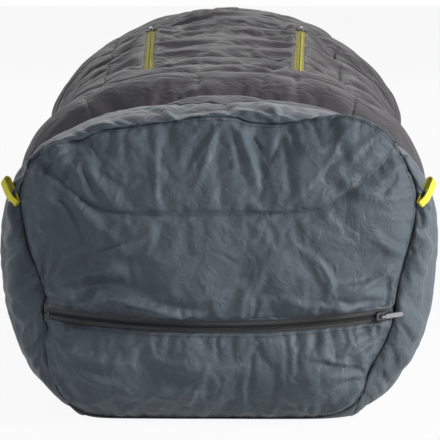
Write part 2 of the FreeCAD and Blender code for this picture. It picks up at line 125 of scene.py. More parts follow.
def through(points, step):
    """Evenly spaced points on a smooth open curve through the given ones."""
    p = np.asarray(points, float)
    ends = np.vstack([2 * p[0] - p[1], p, 2 * p[-1] - p[-2]])
    fine = []
    for a, b, c, d in zip(ends, ends[1:], ends[2:], ends[3:]):
        for t in np.linspace(0, 1, 24, endpoint=False):
            bend = 2 * b + (c - a) * t + (2 * a - 5 * b + 4 * c - d) * t**2
            fine.append(0.5 * (bend + (3 * b - a - 3 * c + d) * t**3))
    fine.append(p[-1])
    return respaced(np.array(fine), step)


def run_along(line):
    """How far along a line each of its points is."""
    return np.r_[0, np.cumsum(np.linalg.norm(np.diff(line, axis=0), axis=1))]


def read_at(wanted, known, rows):
    """Points between the given rows, which stand at known places."""
    return np.stack([np.interp(wanted, known, rows[:, k]) for k in range(rows.shape[1])], 1)


def respaced(line, step=None, count=None):
    """The same line with evenly spaced points, either that far apart or that many."""
    length = run_along(line)
    if count is None:
        count = max(2, int(round(length[-1] / step)) + 1)
    return read_at(np.linspace(0, length[-1], count), length, line)


def lattice_noise(points, cell, seed=0):
    """Smooth noise from -1 to 1 at points in space, with features about a cell across."""
    q = np.asarray(points, float) / cell + 37.3 * (seed + 1)
    base = np.floor(q).astype(np.int64)
    f = q - base
    f = f * f * (3 - 2 * f)
    total = np.zeros(len(q))
    for corner in range(2 ** q.shape[1]):
        bits = [(corner >> k) & 1 for k in range(q.shape[1])]
        h = np.full(len(q), 1013904223 + 7919 * seed, np.int64)
        weight = np.ones(len(q))
        for k, bit in enumerate(bits):
            h = (h ^ (base[:, k] + bit) * [73856093, 19349663, 83492791][k]) & 0x7FFFFFFF
            weight *= f[:, k] if bit else 1 - f[:, k]
        h = (h * 1103515245 + 12345) & 0x7FFFFFFF
        h = ((h >> 13) ^ h) & 0x7FFFFFFF
        total += weight * (h / 0x3FFFFFFF - 1)
    return total


def map_noise(across, along, seed):
    """Smooth noise over a sheet, at places counted in cells."""
    across, along = np.broadcast_arrays(across, along)
    cells = np.stack([across.ravel(), along.ravel()], 1)
    return lattice_noise(cells, 1.0, seed).reshape(across.shape)


def linked(name, mesh, body, slot, cloth):
    """A piece at the origin that rides on a body, with its cloth coordinates in metres as a map."""
    piece = bpy.data.objects.new(name, mesh)
    bpy.context.scene.collection.objects.link(piece)
    mesh.shade_smooth()
    if cloth is not None:
        layer = mesh.uv_layers.new(name="cloth")
        index = np.zeros(len(mesh.loops), np.int32)
        mesh.loops.foreach_get("vertex_index", index)
        layer.data.foreach_set("uv", np.asarray(cloth, np.float32)[index].ravel())
    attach(piece, body)
    if slot:
        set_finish(piece, slot)
    return piece


def face_outwards(mesh):
    shape = bmesh.new()
    shape.from_mesh(mesh)
    bmesh.ops.recalc_face_normals(shape, faces=shape.faces)
    shape.to_mesh(mesh)
    shape.free()


def soft(piece, fill, *nodes):
    """Hides the parts that a piece stands in for."""
    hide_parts(*nodes)


def make_piece(name, points, faces, body="quilt", slot=None, cloth=None, towards=None):
    """A new mesh piece, turned to face a way if one is given."""
    if towards is not None:
        p = np.asarray(points, float)
        corners = np.array([f[:3] for f in faces])
        facing = np.cross(p[corners[:, 1]] - p[corners[:, 0]], p[corners[:, 2]] - p[corners[:, 0]])
        away = np.asarray(towards(p[corners[:, 0]]) if callable(towards) else towards, float)
        if (facing * away).sum() < 0:
            faces = [tuple(f)[::-1] for f in faces]
    mesh = bpy.data.meshes.new(name)
    mesh.from_pydata([tuple(map(float, p)) for p in points], [], [tuple(map(int, f)) for f in faces])
    mesh.validate()
    mesh.update()
    return linked(name, mesh, body, slot, cloth)


def lift(piece, lowest):
    """Keeps a piece's points at or above a height."""
    co = np.zeros(len(piece.data.vertices) * 3)
    piece.data.vertices.foreach_get("co", co)
    co = co.reshape(-1, 3)
    co[:, 2] = np.maximum(co[:, 2], lowest)
    piece.data.vertices.foreach_set("co", co.ravel())


def apply_modifiers(piece):
    bpy.ops.object.select_all(action="DESELECT")
    bpy.context.view_layer.objects.active = piece
    piece.select_set(True)
    for modifier in list(piece.modifiers):
        bpy.ops.object.modifier_apply(modifier=modifier.name)
    piece.select_set(False)


def thicken(piece, depth):
    """Smooths a sheet once and gives it a thickness, on the side away from its normals."""
    smooth = piece.modifiers.new("smooth", "SUBSURF")
    smooth.levels = smooth.render_levels = 1
    smooth.boundary_smooth = "PRESERVE_CORNERS"
    wall = piece.modifiers.new("wall", "SOLIDIFY")
    wall.thickness = depth
    wall.offset = -1
    wall.use_even_offset = False
    apply_modifiers(piece)
    piece.data.shade_smooth()


def settle(points, faces, pins, pressure, growth, frames, bend, cap, loose=None, quality=5):
    """Blows a held sheet up like a filled shell. The sheet grows, so that it puckers along what holds it.

    The growth is one share for the whole sheet, or the shares of its tightest and its loosest points. No point
    ends up farther than the cap from where it started.
    """
    start = np.array(points, float)
    mesh = bpy.data.meshes.new("settling")
    mesh.from_pydata([tuple(p) for p in start], [], [tuple(map(int, f)) for f in faces])
    sheet = bpy.data.objects.new("settling", mesh)
    bpy.context.scene.collection.objects.link(sheet)
    pin_group = sheet.vertex_groups.new(name="pin")
    pin_group.add([int(i) for i in pins], 1.0, "REPLACE")
    cloth = sheet.modifiers.new("Cloth", "CLOTH")
    made = cloth.settings
    made.quality = quality
    made.mass = 0.3
    made.tension_stiffness = made.compression_stiffness = 15.0
    made.shear_stiffness = 5.0
    made.bending_stiffness = bend
    made.vertex_group_mass = "pin"
    made.use_pressure = True
    made.uniform_pressure_force = pressure
    if loose is not None:
        tight = sheet.vertex_groups.new(name="tight")
        for i, w in enumerate(loose):
            tight.add([i], float(1 - min(1, w)), "REPLACE")
        made.vertex_group_shrink = "tight"
        made.shrink_min = -growth[1]
        made.shrink_max = -growth[0]
    else:
        made.shrink_min = -growth
    made.effector_weights.gravity = 0
    cloth.collision_settings.use_collision = False
    cloth.collision_settings.use_self_collision = False
    cloth.point_cache.frame_start = 1
    cloth.point_cache.frame_end = frames
    scene = bpy.context.scene
    for f in range(1, frames + 1):
        scene.frame_set(f)
    ready = sheet.evaluated_get(bpy.context.evaluated_depsgraph_get())
    co = np.zeros(len(start) * 3)
    ready.data.vertices.foreach_get("co", co)
    moved = co.reshape(-1, 3) - start
    far = np.linalg.norm(moved, axis=1)
    moved *= (cap * np.tanh(far / cap) / np.maximum(far, 1e-9))[:, None]
    bpy.data.objects.remove(sheet)
    bpy.data.meshes.remove(mesh)
    scene.frame_set(1)
    return start + moved


# ---- Outlines --------------------------------------------------------------------------------------

# Distance behind the perimeter seam, half width, top, widest line, depth below that line, and roundness below
# and above it.
OUTLINE = [
    (0.000, 0.203, 0.317, 0.222, 0.254, 2.40, 2.40),
    (0.020, 0.218, 0.323, 0.205, 0.232, 2.70, 2.40),
    (0.060, 0.229, 0.328, 0.190, 0.208, 3.00, 2.40),
    (SLATE, 0.231, 0.325, 0.190, 0.208, 3.00, 2.40),
    (FLOOR_END, 0.232, 0.325, 0.190, 0.209, 3.00, 2.40),
    (0.600, 0.2402, 0.3289, 0.1901, 0.2105, 3.00, 2.35),
    (0.800, 0.2596, 0.3469, 0.1929, 0.2174, 2.94, 2.18),
    (1.100, 0.2886, 0.3740, 0.1971, 0.2279, 2.86, 1.92),
    (1.300, 0.308, 0.392, 0.200, 0.235, 2.80, 1.75),
    (1.450, 0.308, 0.388, 0.199, 0.234, 2.80, 1.80),
    (1.600, 0.300, 0.372, 0.195, 0.230, 2.80, 1.90),
    (1.740, 0.288, 0.352, 0.190, 0.223, 2.80, 2.00),
    (MOUTH, 0.272, 0.330, 0.185, 0.215, 2.80, 2.10),
]


def outline(distance):
    return smooth_table(OUTLINE, distance)[1:]


def arch_point(sizes, angle, inset=0.0):
    half, top, widest, depth, low, high = sizes
    c, s = math.cos(angle), math.sin(angle)
    rise, power = (top - widest, high) if s >= 0 else (depth, low)
    # Powers above and below meet smoothly, because the outline is upright on its widest line.
    r = ((abs(c) / (half - inset)) ** power + (abs(s) / (rise - inset)) ** power) ** (-1 / power)
    return np.array([r * c, widest + r * s])


def ground_half(sizes, inset=0.0):
    half, top, widest, depth, low, _ = sizes
    return (half - inset) * (1 - ((widest - inset) / (depth - inset)) ** low) ** (1 / low)


def ground_angle(sizes, inset=0.0):
    return math.atan2(-(sizes[2] - inset), ground_half(sizes, inset))


def arch_line(sizes, inset=0.0, count=400):
    """The outline from the ground on the right, over the top, to the ground on the left."""
    a0 = ground_angle(sizes, inset)
    angles = np.linspace(a0, math.pi - a0, count)
    return angles, np.array([arch_point(sizes, a, inset) for a in angles])


# ---- Foot end panel --------------------------------------------------------------------------------

# The perimeter seam across the foot, from the bottom round the right, over the top and down the left.
# It is drawn in wherever the fabric is pinched.
SEAM_POINTS = [
    (0.000, 0.005), (0.060, 0.005), (0.112, 0.007), (0.138, 0.017), (0.151, 0.035), (0.156, 0.056),
    (0.168, 0.078), (0.175, 0.094), (0.180, 0.110), (0.183, 0.136), (0.189, 0.165), (0.199, 0.203),
    (0.202, 0.229), (0.200, 0.250), (0.190, 0.274), (0.178, 0.295), (0.158, 0.311), (0.133, 0.320),
    (0.100, 0.318), (0.064, 0.312), (0.035, 0.313), (0.012, 0.319), (-0.019, 0.319), (-0.052, 0.314),
    (-0.087, 0.309), (-0.120, 0.304), (-0.142, 0.294), (-0.166, 0.294), (-0.188, 0.279), (-0.197, 0.262),
    (-0.203, 0.237), (-0.199, 0.207), (-0.193, 0.179), (-0.181, 0.150), (-0.177, 0.134), (-0.182, 0.117),
    (-0.176, 0.100), (-0.181, 0.086), (-0.174, 0.056), (-0.168, 0.037), (-0.153, 0.018), (-0.128, 0.007),
    (-0.060, 0.005),
]
PINCHES = [
    (0.153, 0.050), (0.177, 0.100), (0.192, 0.276), (0.064, 0.312), (-0.142, 0.294), (-0.190, 0.279),
    (-0.178, 0.136), (-0.177, 0.100),
]
SMILE_POINTS = [
    (0.180, 0.291), (0.166, 0.277), (0.148, 0.263), (0.128, 0.246), (0.106, 0.233), (0.080, 0.228),
    (0.032, 0.226), (-0.018, 0.225), (-0.068, 0.225), (-0.102, 0.227), (-0.124, 0.233), (-0.140, 0.243),
    (-0.160, 0.259), (-0.184, 0.281),
]
PANEL_CENTRE = np.array([0.0, 0.160])
CROWN = 0.045
STEP = 0.0036

closed = np.array(SEAM_POINTS + SEAM_POINTS[:3])
SEAM = through(closed, 0.002)
first = int(np.argmin(np.linalg.norm(SEAM[:20] - SEAM_POINTS[0], axis=1)))
last = len(SEAM) - 1 - int(np.argmin(np.linalg.norm(SEAM[::-1][: len(SEAM) // 3] - SEAM_POINTS[0], axis=1)))
SEAM = respaced(SEAM[first : last + 1], STEP)
SEAM[-1] = SEAM[0]
SMILE = through(SMILE_POINTS, STEP)



def joint_value(name, key):
    """A vector that the frame gives for a joint: its axis, or the place where a turning one turns."""
    joint = [j for j in frame["joints"] if j["name"] == name][0]
    return np.array(joint[key], float)


ZIP_CENTRE = joint_value("foot_zip_travel", "pos_m")
ZIP_AXIS = -joint_value("foot_zip_travel", "axis")
ZIP_OUT = np.array([0.0, -ZIP_AXIS[2], ZIP_AXIS[1]])
ZIP_RADIUS = 0.4377
ZIP_HALF_ANGLE = math.radians(24.14)


def zip_point(angle, up=0.0, out=0.0):
    """A point on the foot zip, at an angle round its arc, up across its tapes and out from them."""
    away = math.sin(angle) * np.array([1.0, 0, 0]) + math.cos(angle) * ZIP_OUT
    return ZIP_CENTRE + (ZIP_RADIUS + out) * away + up * ZIP_AXIS


def zip_edge(x, up):
    """Height and depth of the zip at a place across the foot."""
    angle = np.arcsin(np.clip(np.asarray(x) / ZIP_RADIUS, -0.5, 0.5))
    y = ZIP_CENTRE[1] + ZIP_RADIUS * np.cos(angle) * ZIP_OUT[1] + up * ZIP_AXIS[1]
    z = ZIP_CENTRE[2] + ZIP_RADIUS * np.cos(angle) * ZIP_OUT[2] + up * ZIP_AXIS[2]
    return y, z


def to_line(points, line):
    """Distance of each point from a line, and how far along the line its nearest place is."""
    best = np.full(len(points), 9.0)
    along = np.zeros(len(points))
    lengths = run_along(line)
    for k in range(len(line) - 1):
        a, b = line[k], line[k + 1]
        ab = b - a
        t = np.clip(((points - a) @ ab) / max(ab @ ab, 1e-12), 0, 1)
        d = np.linalg.norm(points - a - t[:, None] * ab, axis=1)
        near = d < best
        best[near] = d[near]
        along[near] = lengths[k] + t[near] * (lengths[k + 1] - lengths[k])
    return best, along


def inside(points, loop):
    x, z = points[:, 0], points[:, 1]
    result = np.zeros(len(points), bool)
    for (x0, z0), (x1, z1) in zip(loop, np.roll(loop, -1, axis=0)):
        crosses = (z0 > z) != (z1 > z)
        reach = x0 + (z - z0) * (x1 - x0) / (z1 - z0 if z1 != z0 else 1e-12)
        result ^= crosses & (x < reach)
    return result


def filled(loop, held, step):
    """Even triangles over a closed outline, with the held lines among their edges."""
    low, high = loop.min(0), loop.max(0)
    rows = []
    for j, z in enumerate(np.arange(low[1], high[1], step * 0.866)):
        xs = np.arange(low[0] + (j % 2) * step / 2, high[0], step)
        rows.append(np.stack([xs, np.full(len(xs), z)], 1))
    lattice = np.concatenate(rows)
    lattice = lattice[inside(lattice, loop)]
    clear, _ = to_line(lattice, np.vstack([loop, loop[:1]]))
    keep = clear > 0.55 * step
    for line in held:
        d, _ = to_line(lattice, line)
        keep &= d > 0.55 * step
    lattice = lattice[keep]
    points = [loop]
    edges = [(k, (k + 1) % len(loop)) for k in range(len(loop))]
    count = len(loop)
    for line in held:
        points.append(line)
        edges += [(count + k, count + k + 1) for k in range(len(line) - 1)]
        count += len(line)
    points.append(lattice)
    flat = [Vector((float(a), float(b))) for a, b in np.concatenate(points)]
    made = delaunay_2d_cdt(flat, edges, [list(range(len(loop)))], 1, 1e-7)
    return np.array([tuple(v) for v in made[0]]), [tuple(f) for f in made[2]]


def seam_ratio(points):
    """How far each point is from the panel's centre, as a share of the way to its seam."""
    offset = points - PANEL_CENTRE
    angle = np.arctan2(offset[:, 1], offset[:, 0])
    ring = SEAM - PANEL_CENTRE
    ring_angle = np.arctan2(ring[:, 1], ring[:, 0])
    order = np.argsort(ring_angle)
    radius = np.linalg.norm(ring, axis=1)[order]
    ring_angle = ring_angle[order]
    reach = np.interp(angle, ring_angle, radius, period=2 * math.pi)
    return np.clip(np.linalg.norm(offset, axis=1) / reach, 0, 1)


def ease(value, start, end):
    t = np.clip((np.asarray(value, float) - start) / (end - start), 0, 1)
    return t * t * (3 - 2 * t)


def fold_height(points, folds):
    """Height that designed folds add: each is (points of its line, height, width), lying over to one side."""
    total = np.zeros(len(points))
    for line, height, width in folds:
        path = through(line, 0.004)
        distance, along = to_line(points, path)
        length = np.linalg.norm(np.diff(path, axis=0), axis=1).sum()
        ends = np.sin(math.pi * np.clip(along / length, 0.04, 0.96)) ** 0.6
        a = path[0]
        b = path[-1]
        side = np.sign((points[:, 0] - a[0]) * (b[1] - a[1]) - (points[:, 1] - a[1]) * (b[0] - a[0]))
        reach = np.where(side > 0, width, 0.45 * width)
        total += height * ends * np.exp(-((distance / reach) ** 2))
    return total


def ribs(along, away, seed, pitch=0.011, length=0.030):
    """Small puckers that stand square to a seam and die out away from it, from about -1 to 1."""
    across, out = along / pitch, away / (3.2 * pitch)
    ridge = 2.6 * np.abs(map_noise(across, out, seed)) - 0.8
    broad = map_noise(across * 0.37, out * 0.37, seed + 5)
    return (0.6 * ridge + 0.6 * broad) * np.exp(-away / length) * (1 - np.exp(-away / 0.003))


UPPER_FOLDS = [
    ([(-0.172, 0.146), (-0.135, 0.140), (-0.085, 0.140), (-0.020, 0.124)], 0.0110, 0.013),
    ([(-0.165, 0.150), (-0.120, 0.165), (-0.080, 0.172)], 0.0045, 0.010),
    ([(-0.120, 0.183), (-0.097, 0.192), (-0.077, 0.198)], 0.0030, 0.006),
    ([(-0.060, 0.145), (-0.015, 0.147), (0.012, 0.160)], 0.0035, 0.008),
    ([(0.020, 0.308), (0.029, 0.286), (0.038, 0.262)], 0.0045, 0.007),
    ([(0.012, 0.300), (0.014, 0.282), (0.016, 0.268)], 0.0022, 0.006),
    ([(-0.150, 0.255), (-0.138, 0.233), (-0.115, 0.218)], 0.0035, 0.008),
    ([(-0.172, 0.240), (-0.150, 0.226), (-0.140, 0.205)], 0.0030, 0.008),
    ([(-0.118, 0.262), (-0.085, 0.255), (-0.050, 0.262)], -0.0025, 0.010),
    ([(0.068, 0.305), (0.085, 0.290), (0.110, 0.287)], 0.0030, 0.008),
    ([(0.110, 0.155), (0.140, 0.150), (0.165, 0.160)], 0.0035, 0.010),
    ([(0.060, 0.142), (0.100, 0.128), (0.150, 0.130)], 0.0040, 0.009),
    ([(0.090, 0.185), (0.105, 0.165), (0.108, 0.145)], 0.0030, 0.008),
    ([(0.150, 0.205), (0.168, 0.190), (0.182, 0.188)], 0.0030, 0.007),
    ([(0.120, 0.262), (0.140, 0.245), (0.168, 0.240)], 0.0030, 0.008),
]
LOWER_FOLDS = [
    ([(-0.165, 0.092), (-0.135, 0.080), (-0.085, 0.074)], 0.0040, 0.008),
    ([(-0.160, 0.075), (-0.130, 0.062), (-0.100, 0.052)], 0.0035, 0.008),
    ([(0.145, 0.056), (0.110, 0.060), (0.075, 0.052)], 0.0040, 0.008),
    ([(0.165, 0.082), (0.130, 0.074), (0.095, 0.082)], 0.0035, 0.007),
    ([(-0.060, 0.080), (-0.020, 0.070), (0.030, 0.074)], 0.0030, 0.008),
    ([(-0.110, 0.040), (-0.050, 0.045), (0.010, 0.038)], 0.0028, 0.011),
]


def creases_from(seed, count, loop):
    """Long thin creases that run in from the perimeter seam, one in four of them from where it is pinched."""
    draw = np.random.default_rng(seed)
    folds = []
    for k in range(count):
        start = loop[int(draw.integers(len(loop)))] if k % 4 else PINCHES[int(draw.integers(len(PINCHES)))]
        start = np.asarray(start, float)
        way = PANEL_CENTRE + draw.normal(0, 0.05, 2) - start
        way /= np.linalg.norm(way)
        length = draw.uniform(0.035, 0.105)
        turn = np.array([-way[1], way[0]])
        bow = draw.normal(0, 0.12)
        line = []
        for t in (0.06, 0.35, 0.65, 1.0):
            line.append(start + way * length * t + turn * length * (bow * t * (1 - t) * 2))
        folds.append((line, draw.uniform(0.0010, 0.0026), draw.uniform(0.0035, 0.0070)))
    return folds


def panel_sheet(loop, held, up, folds, seed):
    """One part of the foot end panel, puffed between its seams, with what is held along them."""
    flat, faces = filled(loop, held, STEP)
    edge, along = to_line(flat, SEAM)
    zip_y, zip_z = zip_edge(flat[:, 0], up)
    to_zip = np.abs(flat[:, 1] - zip_z)
    ratio = seam_ratio(flat)
    y = Y_SEAM - CROWN * (1 - ratio**2.4)
    at_zip = seam_ratio(np.stack([flat[:, 0], zip_z], 1))
    error = zip_y - (Y_SEAM - CROWN * (1 - at_zip**2.4))
    y = y + error * np.exp(-((to_zip / 0.045) ** 2))
    puff = 0.011 * (1 - np.exp(-edge / 0.016)) * (1 - np.exp(-to_zip / 0.012))
    puff += -0.0018 * np.exp(-edge / 0.006)
    height = 0.0034 * ribs(along, edge, seed, 0.012, 0.036)
    if len(held):
        line = held[0]
        off, place = to_line(flat, line)
        puff *= 0.78 + 0.22 * (1 - np.exp(-off / 0.010))
        puff -= 0.0028 * np.exp(-off / 0.0022) * np.minimum(1, edge / 0.01)
        height += 0.0009 * ribs(place, off, seed + 2, 0.012, 0.022)
    for k, pinch in enumerate(PINCHES):
        distance = np.linalg.norm(flat - pinch, axis=1)
        way = math.atan2(PANEL_CENTRE[1] - pinch[1], PANEL_CENTRE[0] - pinch[0])
        turn = np.arctan2(flat[:, 1] - pinch[1], flat[:, 0] - pinch[0]) - way
        turn = (turn + math.pi) % (2 * math.pi) - math.pi
        rays = 2 * np.abs(map_noise(turn * 2.6, distance / 0.10, 20 + k)) - 0.6
        height += 0.0060 * rays * np.exp(-distance / 0.045) * ease(distance, 0.004, 0.020)
    strength = 0.0020 + 0.0022 * ease(flat[:, 0], -0.02, 0.05) if up < 0 else 0.0018
    height += strength * ribs(flat[:, 0] + 0.5, to_zip, seed + 3, 0.0085, 0.020)
    broad = map_noise(flat[:, 0] / 0.052, flat[:, 1] / 0.034, seed + 8)
    height += 0.0013 * broad * ease(edge, 0.0, 0.03) * ease(to_zip, 0.0, 0.03)
    slant = (flat[:, 0] + flat[:, 1]) / 0.024, (flat[:, 1] - 0.5 * flat[:, 0]) / 0.013
    creases = 1 - 2 * np.abs(map_noise(*slant, seed + 9))
    height += 0.0005 * creases * ease(edge, 0.0, 0.02)
    height += fold_height(flat, creases_from(seed + 30, 34, SEAM))
    height += 1.7 * fold_height(flat, folds) * ease(edge, 0, 0.008) * ease(to_zip, 0, 0.006)
    on_zip = to_zip < 0.0012
    y = y - puff - height
    lean = 0.35 * (puff + height)
    away = flat - PANEL_CENTRE
    away /= np.maximum(np.linalg.norm(away, axis=1), 1e-6)[:, None]
    x = flat[:, 0] + away[:, 0] * lean
    z = flat[:, 1] + away[:, 1] * lean * 0.6
    points = np.stack([x, y, np.maximum(z, LYING)], 1)
    rim = edge < 1e-5
    points[rim, 0] = flat[rim, 0]
    points[rim, 2] = flat[rim, 1]
    points[rim, 1] = Y_SEAM + 0.002
    points[on_zip & ~rim, 1] = (zip_y - 0.0022)[on_zip & ~rim]
    points[on_zip, 2] = flat[on_zip, 1]
    pinned = rim | on_zip
    if len(held):
        pinned |= to_line(flat, held[0])[0] < 1e-5
    loose = 0.35 + 0.5 * np.exp(-to_zip / 0.03) * ease(flat[:, 0], -0.20, 0.05) + 0.3 * np.exp(-edge / 0.03)
    for pinch in PINCHES:
        loose += 0.5 * np.exp(-np.linalg.norm(flat - pinch, axis=1) / 0.03)
    pins = np.flatnonzero(pinned)
    moved = settle(points, faces, pins, pressure=0.9, growth=(0.0, 0.050), frames=22, bend=0.18, cap=0.010,
                   loose=np.clip(loose, 0, 1))
    moved[:, 2] = np.maximum(moved[:, 2], LYING)
    return flat, moved, faces


def band_loops():
    """The outlines of the end panel's two parts, each closed along its edge of the zip."""
    loops = []
    for up in (TAPE_HALF - TAPE_LAP, -TAPE_HALF + TAPE_LAP):
        _, edge_z = zip_edge(SEAM[:-1, 0], up)
        above = SEAM[:-1, 1] > edge_z if up > 0 else SEAM[:-1, 1] < edge_z
        index = np.flatnonzero(above)
        gap = int(np.argmax(np.diff(np.r_[index, index[0] + len(SEAM) - 1])))
        run = np.r_[index[gap + 1 :], index[: gap + 1]]
        part = SEAM[:-1][run]
        start, end = part[-1], part[0]
        xs = np.linspace(start[0], end[0], int(abs(end[0] - start[0]) / STEP))[1:-1]
        line = np.stack([xs, zip_edge(xs, up)[1]], 1)
        loops.append(np.vstack([part, line]))
    return loops


upper_loop, lower_loop = band_loops()
smile_inside = SMILE[inside(SMILE, upper_loop)]
smile_clear, _ = to_line(smile_inside, SEAM)
smile_inside = smile_inside[smile_clear > 0.6 * STEP]

for name, loop, held, up, folds, seed in (
    ("foot_panel_upper", upper_loop, [smile_inside], TAPE_HALF - TAPE_LAP, UPPER_FOLDS, 1),
    ("foot_panel_lower", lower_loop, [], -TAPE_HALF + TAPE_LAP, LOWER_FOLDS, 2),
):
    flat, points, faces = panel_sheet(loop, held, up, folds, seed)
    facing = [f[::-1] if np.cross(*(flat[list(f)][1:] - flat[f[0]])) < 0 else f for f in faces]
    piece = make_piece(name, points, facing, "quilt", "slate_shell_fabric", flat)
    thicken(piece, SKIN)
    soft(piece, SHELL_FILL, name + "_shell", name + "_insulation")

# ---- Sheets made on a grid -------------------------------------------------------------------------


def grid_faces(rows, columns, keep=None):
    """Faces of a grid of points whose rows come one after the other."""
    faces = []
    for j in range(rows - 1):
        for i in range(columns - 1):
            if keep is None or keep(j, i):
                a = j * columns + i
                faces.append((a, a + columns, a + columns + 1, a + 1))
    return faces


def grid_piece(name, grid, slot, cloth, towards=None):
    faces = grid_faces(*grid.shape[:2])
    return make_piece(name, grid.reshape(-1, 3), faces, "quilt", slot, cloth.reshape(-1, 2), towards)


def grid_normals(grid):
    """Outward normals of a grid whose columns run over the top from right to left."""
    down = np.gradient(grid, axis=0)
    across = np.gradient(grid, axis=1)
    normal = np.cross(across, down)
    size = np.linalg.norm(normal, axis=2, keepdims=True)
    return -normal / np.maximum(size, 1e-9)


# ---- Footbox wrap ----------------------------------------------------------------------------------

WRAP_COLUMNS = 281
third = len(SEAM) // 3
corner_right = int(np.argmin(np.linalg.norm(SEAM[:third] - (0.144, 0.026), axis=1)))
corner_left = len(SEAM) - 1 - int(np.argmin(np.linalg.norm(SEAM[::-1][:third] - (-0.160, 0.028), axis=1)))
wrap_seam = respaced(SEAM[corner_right : corner_left + 1], count=WRAP_COLUMNS)
floor_seam = np.vstack([SEAM[corner_left:-1], SEAM[: corner_right + 1]])


def wrap_grid():
    near = SLATE * (1 - np.cos(np.linspace(0, math.pi / 2, 12)))[:-1] * 0.30
    places = np.r_[near, np.linspace(0.30 * SLATE, SLATE, 22)]
    places = np.unique(np.round(places, 5))
    rows = []
    for place in places:
        _, line = arch_line(outline(max(place, 0.030)))
        line = respaced(line, count=WRAP_COLUMNS)
        t = float(np.clip(place / 0.032, 0, 1))
        share = math.sqrt(max(0.0, 1 - (1 - t) ** 2.2))
        flat = wrap_seam * (1 - share) + line * share
        rows.append(np.column_stack([flat[:, 0], np.full(WRAP_COLUMNS, Y_SEAM + place), flat[:, 1]]))
    return places, np.array(rows)


places, base = wrap_grid()
normal = grid_normals(base)
row_count, column_count = base.shape[:2]
around = run_along(base[-1])
cloth = np.stack(np.meshgrid(around, places), -1)
from_seam = np.repeat(places[:, None], column_count, 1)
to_body = SLATE - from_seam
to_ground = np.minimum(around, around[-1] - around)[None, :].repeat(row_count, 0)
height = 0.0044 * ribs(cloth[..., 0], from_seam, 31, 0.014, 0.040)
height += 0.0022 * ribs(cloth[..., 0], to_body, 33, 0.012, 0.025)
for k, pinch in enumerate(PINCHES):
    column = int(np.argmin(np.linalg.norm(wrap_seam - pinch, axis=1)))
    reach = np.hypot(cloth[..., 0] - around[column], from_seam)
    turn = np.arctan2(cloth[..., 0] - around[column], from_seam + 0.004)
    rays = map_noise(turn * 2.3, reach / 0.1, 40 + k)
    height += 0.0065 * rays * np.exp(-reach / 0.040) * ease(reach, 0.002, 0.02)
height += 0.0030 * map_noise(cloth[..., 0] / 0.060, cloth[..., 1] / 0.040, 36) * ease(from_seam, 0, 0.03)
puff = -0.0050 * (1 - np.exp(-from_seam / 0.02)) - 0.007 * np.exp(-to_body / 0.016)
rise = (puff + height) * ease(to_ground, 0.0, 0.07) * ease(from_seam, 0.0, 0.004)
points = base + normal * rise[..., None]
points[0, :, 1] = Y_SEAM + 0.002
points = points.reshape(-1, 3)
faces = grid_faces(row_count, column_count)
index = np.arange(row_count * column_count).reshape(row_count, column_count)
pins = np.r_[index[0], index[-1], index[:, 0], index[:, -1]]
points = settle(points, faces, pins, pressure=1.4, growth=0.050, frames=20, bend=0.3, cap=0.009)
points[:, 2] = np.maximum(points[:, 2], GROUNDED)
WRAP = points.reshape(row_count, column_count, 3)
WRAP_END = WRAP[-1]
piece = grid_piece("footbox_wrap", WRAP, "slate_shell_fabric", cloth)
thicken(piece, SKIN)
soft(piece, SHELL_FILL, "footbox_wrap_shell", "footbox_wrap_insulation")

# ---- Body ------------------------------------------------------------------------------------------

BAFFLES = [SLATE, 0.270, 0.440, 0.590, 0.727, 0.862, 1.000, 1.145, 1.287, 1.430, 1.570, 1.710, MOUTH]
SPLIT = math.radians(35)
VENT_ALONG = -joint_value("vent_right_travel", "axis")
VENT_ACROSS = np.array([-0.9827, 0.0290, 0.1832])
VENT_OUT = np.array([0.1806, -0.0743, 0.9807])
VENT_CLOSED = np.array([0.1245247, 0.2252942, 0.3569844])
VENT_START = VENT_CLOSED - 0.536 * VENT_ALONG
VENT_LENGTH = 0.550
VENT_Y0 = VENT_START[1] - Y_SEAM
VENT_Y1 = VENT_Y0 + VENT_LENGTH * VENT_ALONG[1]
COUNTS = (34, 6, 2, 23)


def vent_place(distance, side):
    """The outer edge of the right vent's tape: side is -1 for the edge nearer the side panel."""
    t = float(np.clip((distance - VENT_Y0) / VENT_ALONG[1], 0, VENT_LENGTH))
    return VENT_START + t * VENT_ALONG + side * 0.0072 * VENT_ACROSS


def row_angles(distance, inset=0.0):
    """Angles of the right half's columns at a distance, and how far round the outline they are."""
    sizes = outline(distance)
    angles, line = arch_line(sizes, inset, 500)
    length = np.r_[0, np.cumsum(np.linalg.norm(np.diff(line, axis=0), axis=1))]
    edges = []
    for side in (-1, 1):
        p = vent_place(distance, side)
        edges.append(math.atan2(p[2] - sizes[2], p[0]))
    stops = [angles[0], SPLIT, edges[0], edges[1], math.pi / 2]
    cuts = np.interp(stops, angles, length)
    places = [np.linspace(a, b, n, endpoint=False) for a, b, n in zip(cuts, cuts[1:], COUNTS)]
    places = np.r_[np.concatenate(places), cuts[-1]]
    return np.interp(places, length, angles), places


HALF = sum(COUNTS)
COLUMNS = 2 * HALF + 1
SPLIT_COLUMN = COUNTS[0]
VENT_A = COUNTS[0] + COUNTS[1]
VENT_B = VENT_A + COUNTS[2]


def body_rows():
    rows = []
    for a, b in zip(BAFFLES, BAFFLES[1:]):
        rows.append(np.linspace(a, b, max(4, int(round((b - a) / 0.0078))), endpoint=False))
    return np.r_[np.concatenate(rows), MOUTH]


def body_grid(places, inset=0.0):
    grid, around = [], []
    for place in places:
        sizes = outline(place)
        angles, distance = row_angles(place, inset)
        half = np.array([arch_point(sizes, a, inset) for a in angles])
        line = np.vstack([half, (half * (-1, 1))[:-1][::-1]])
        total = distance[-1]
        grid.append(np.column_stack([line[:, 0], np.full(COLUMNS, Y_SEAM + place), line[:, 1]]))
        around.append(np.r_[distance, (2 * total - distance)[:-1][::-1]] - total)
    return np.array(grid), np.array(around)


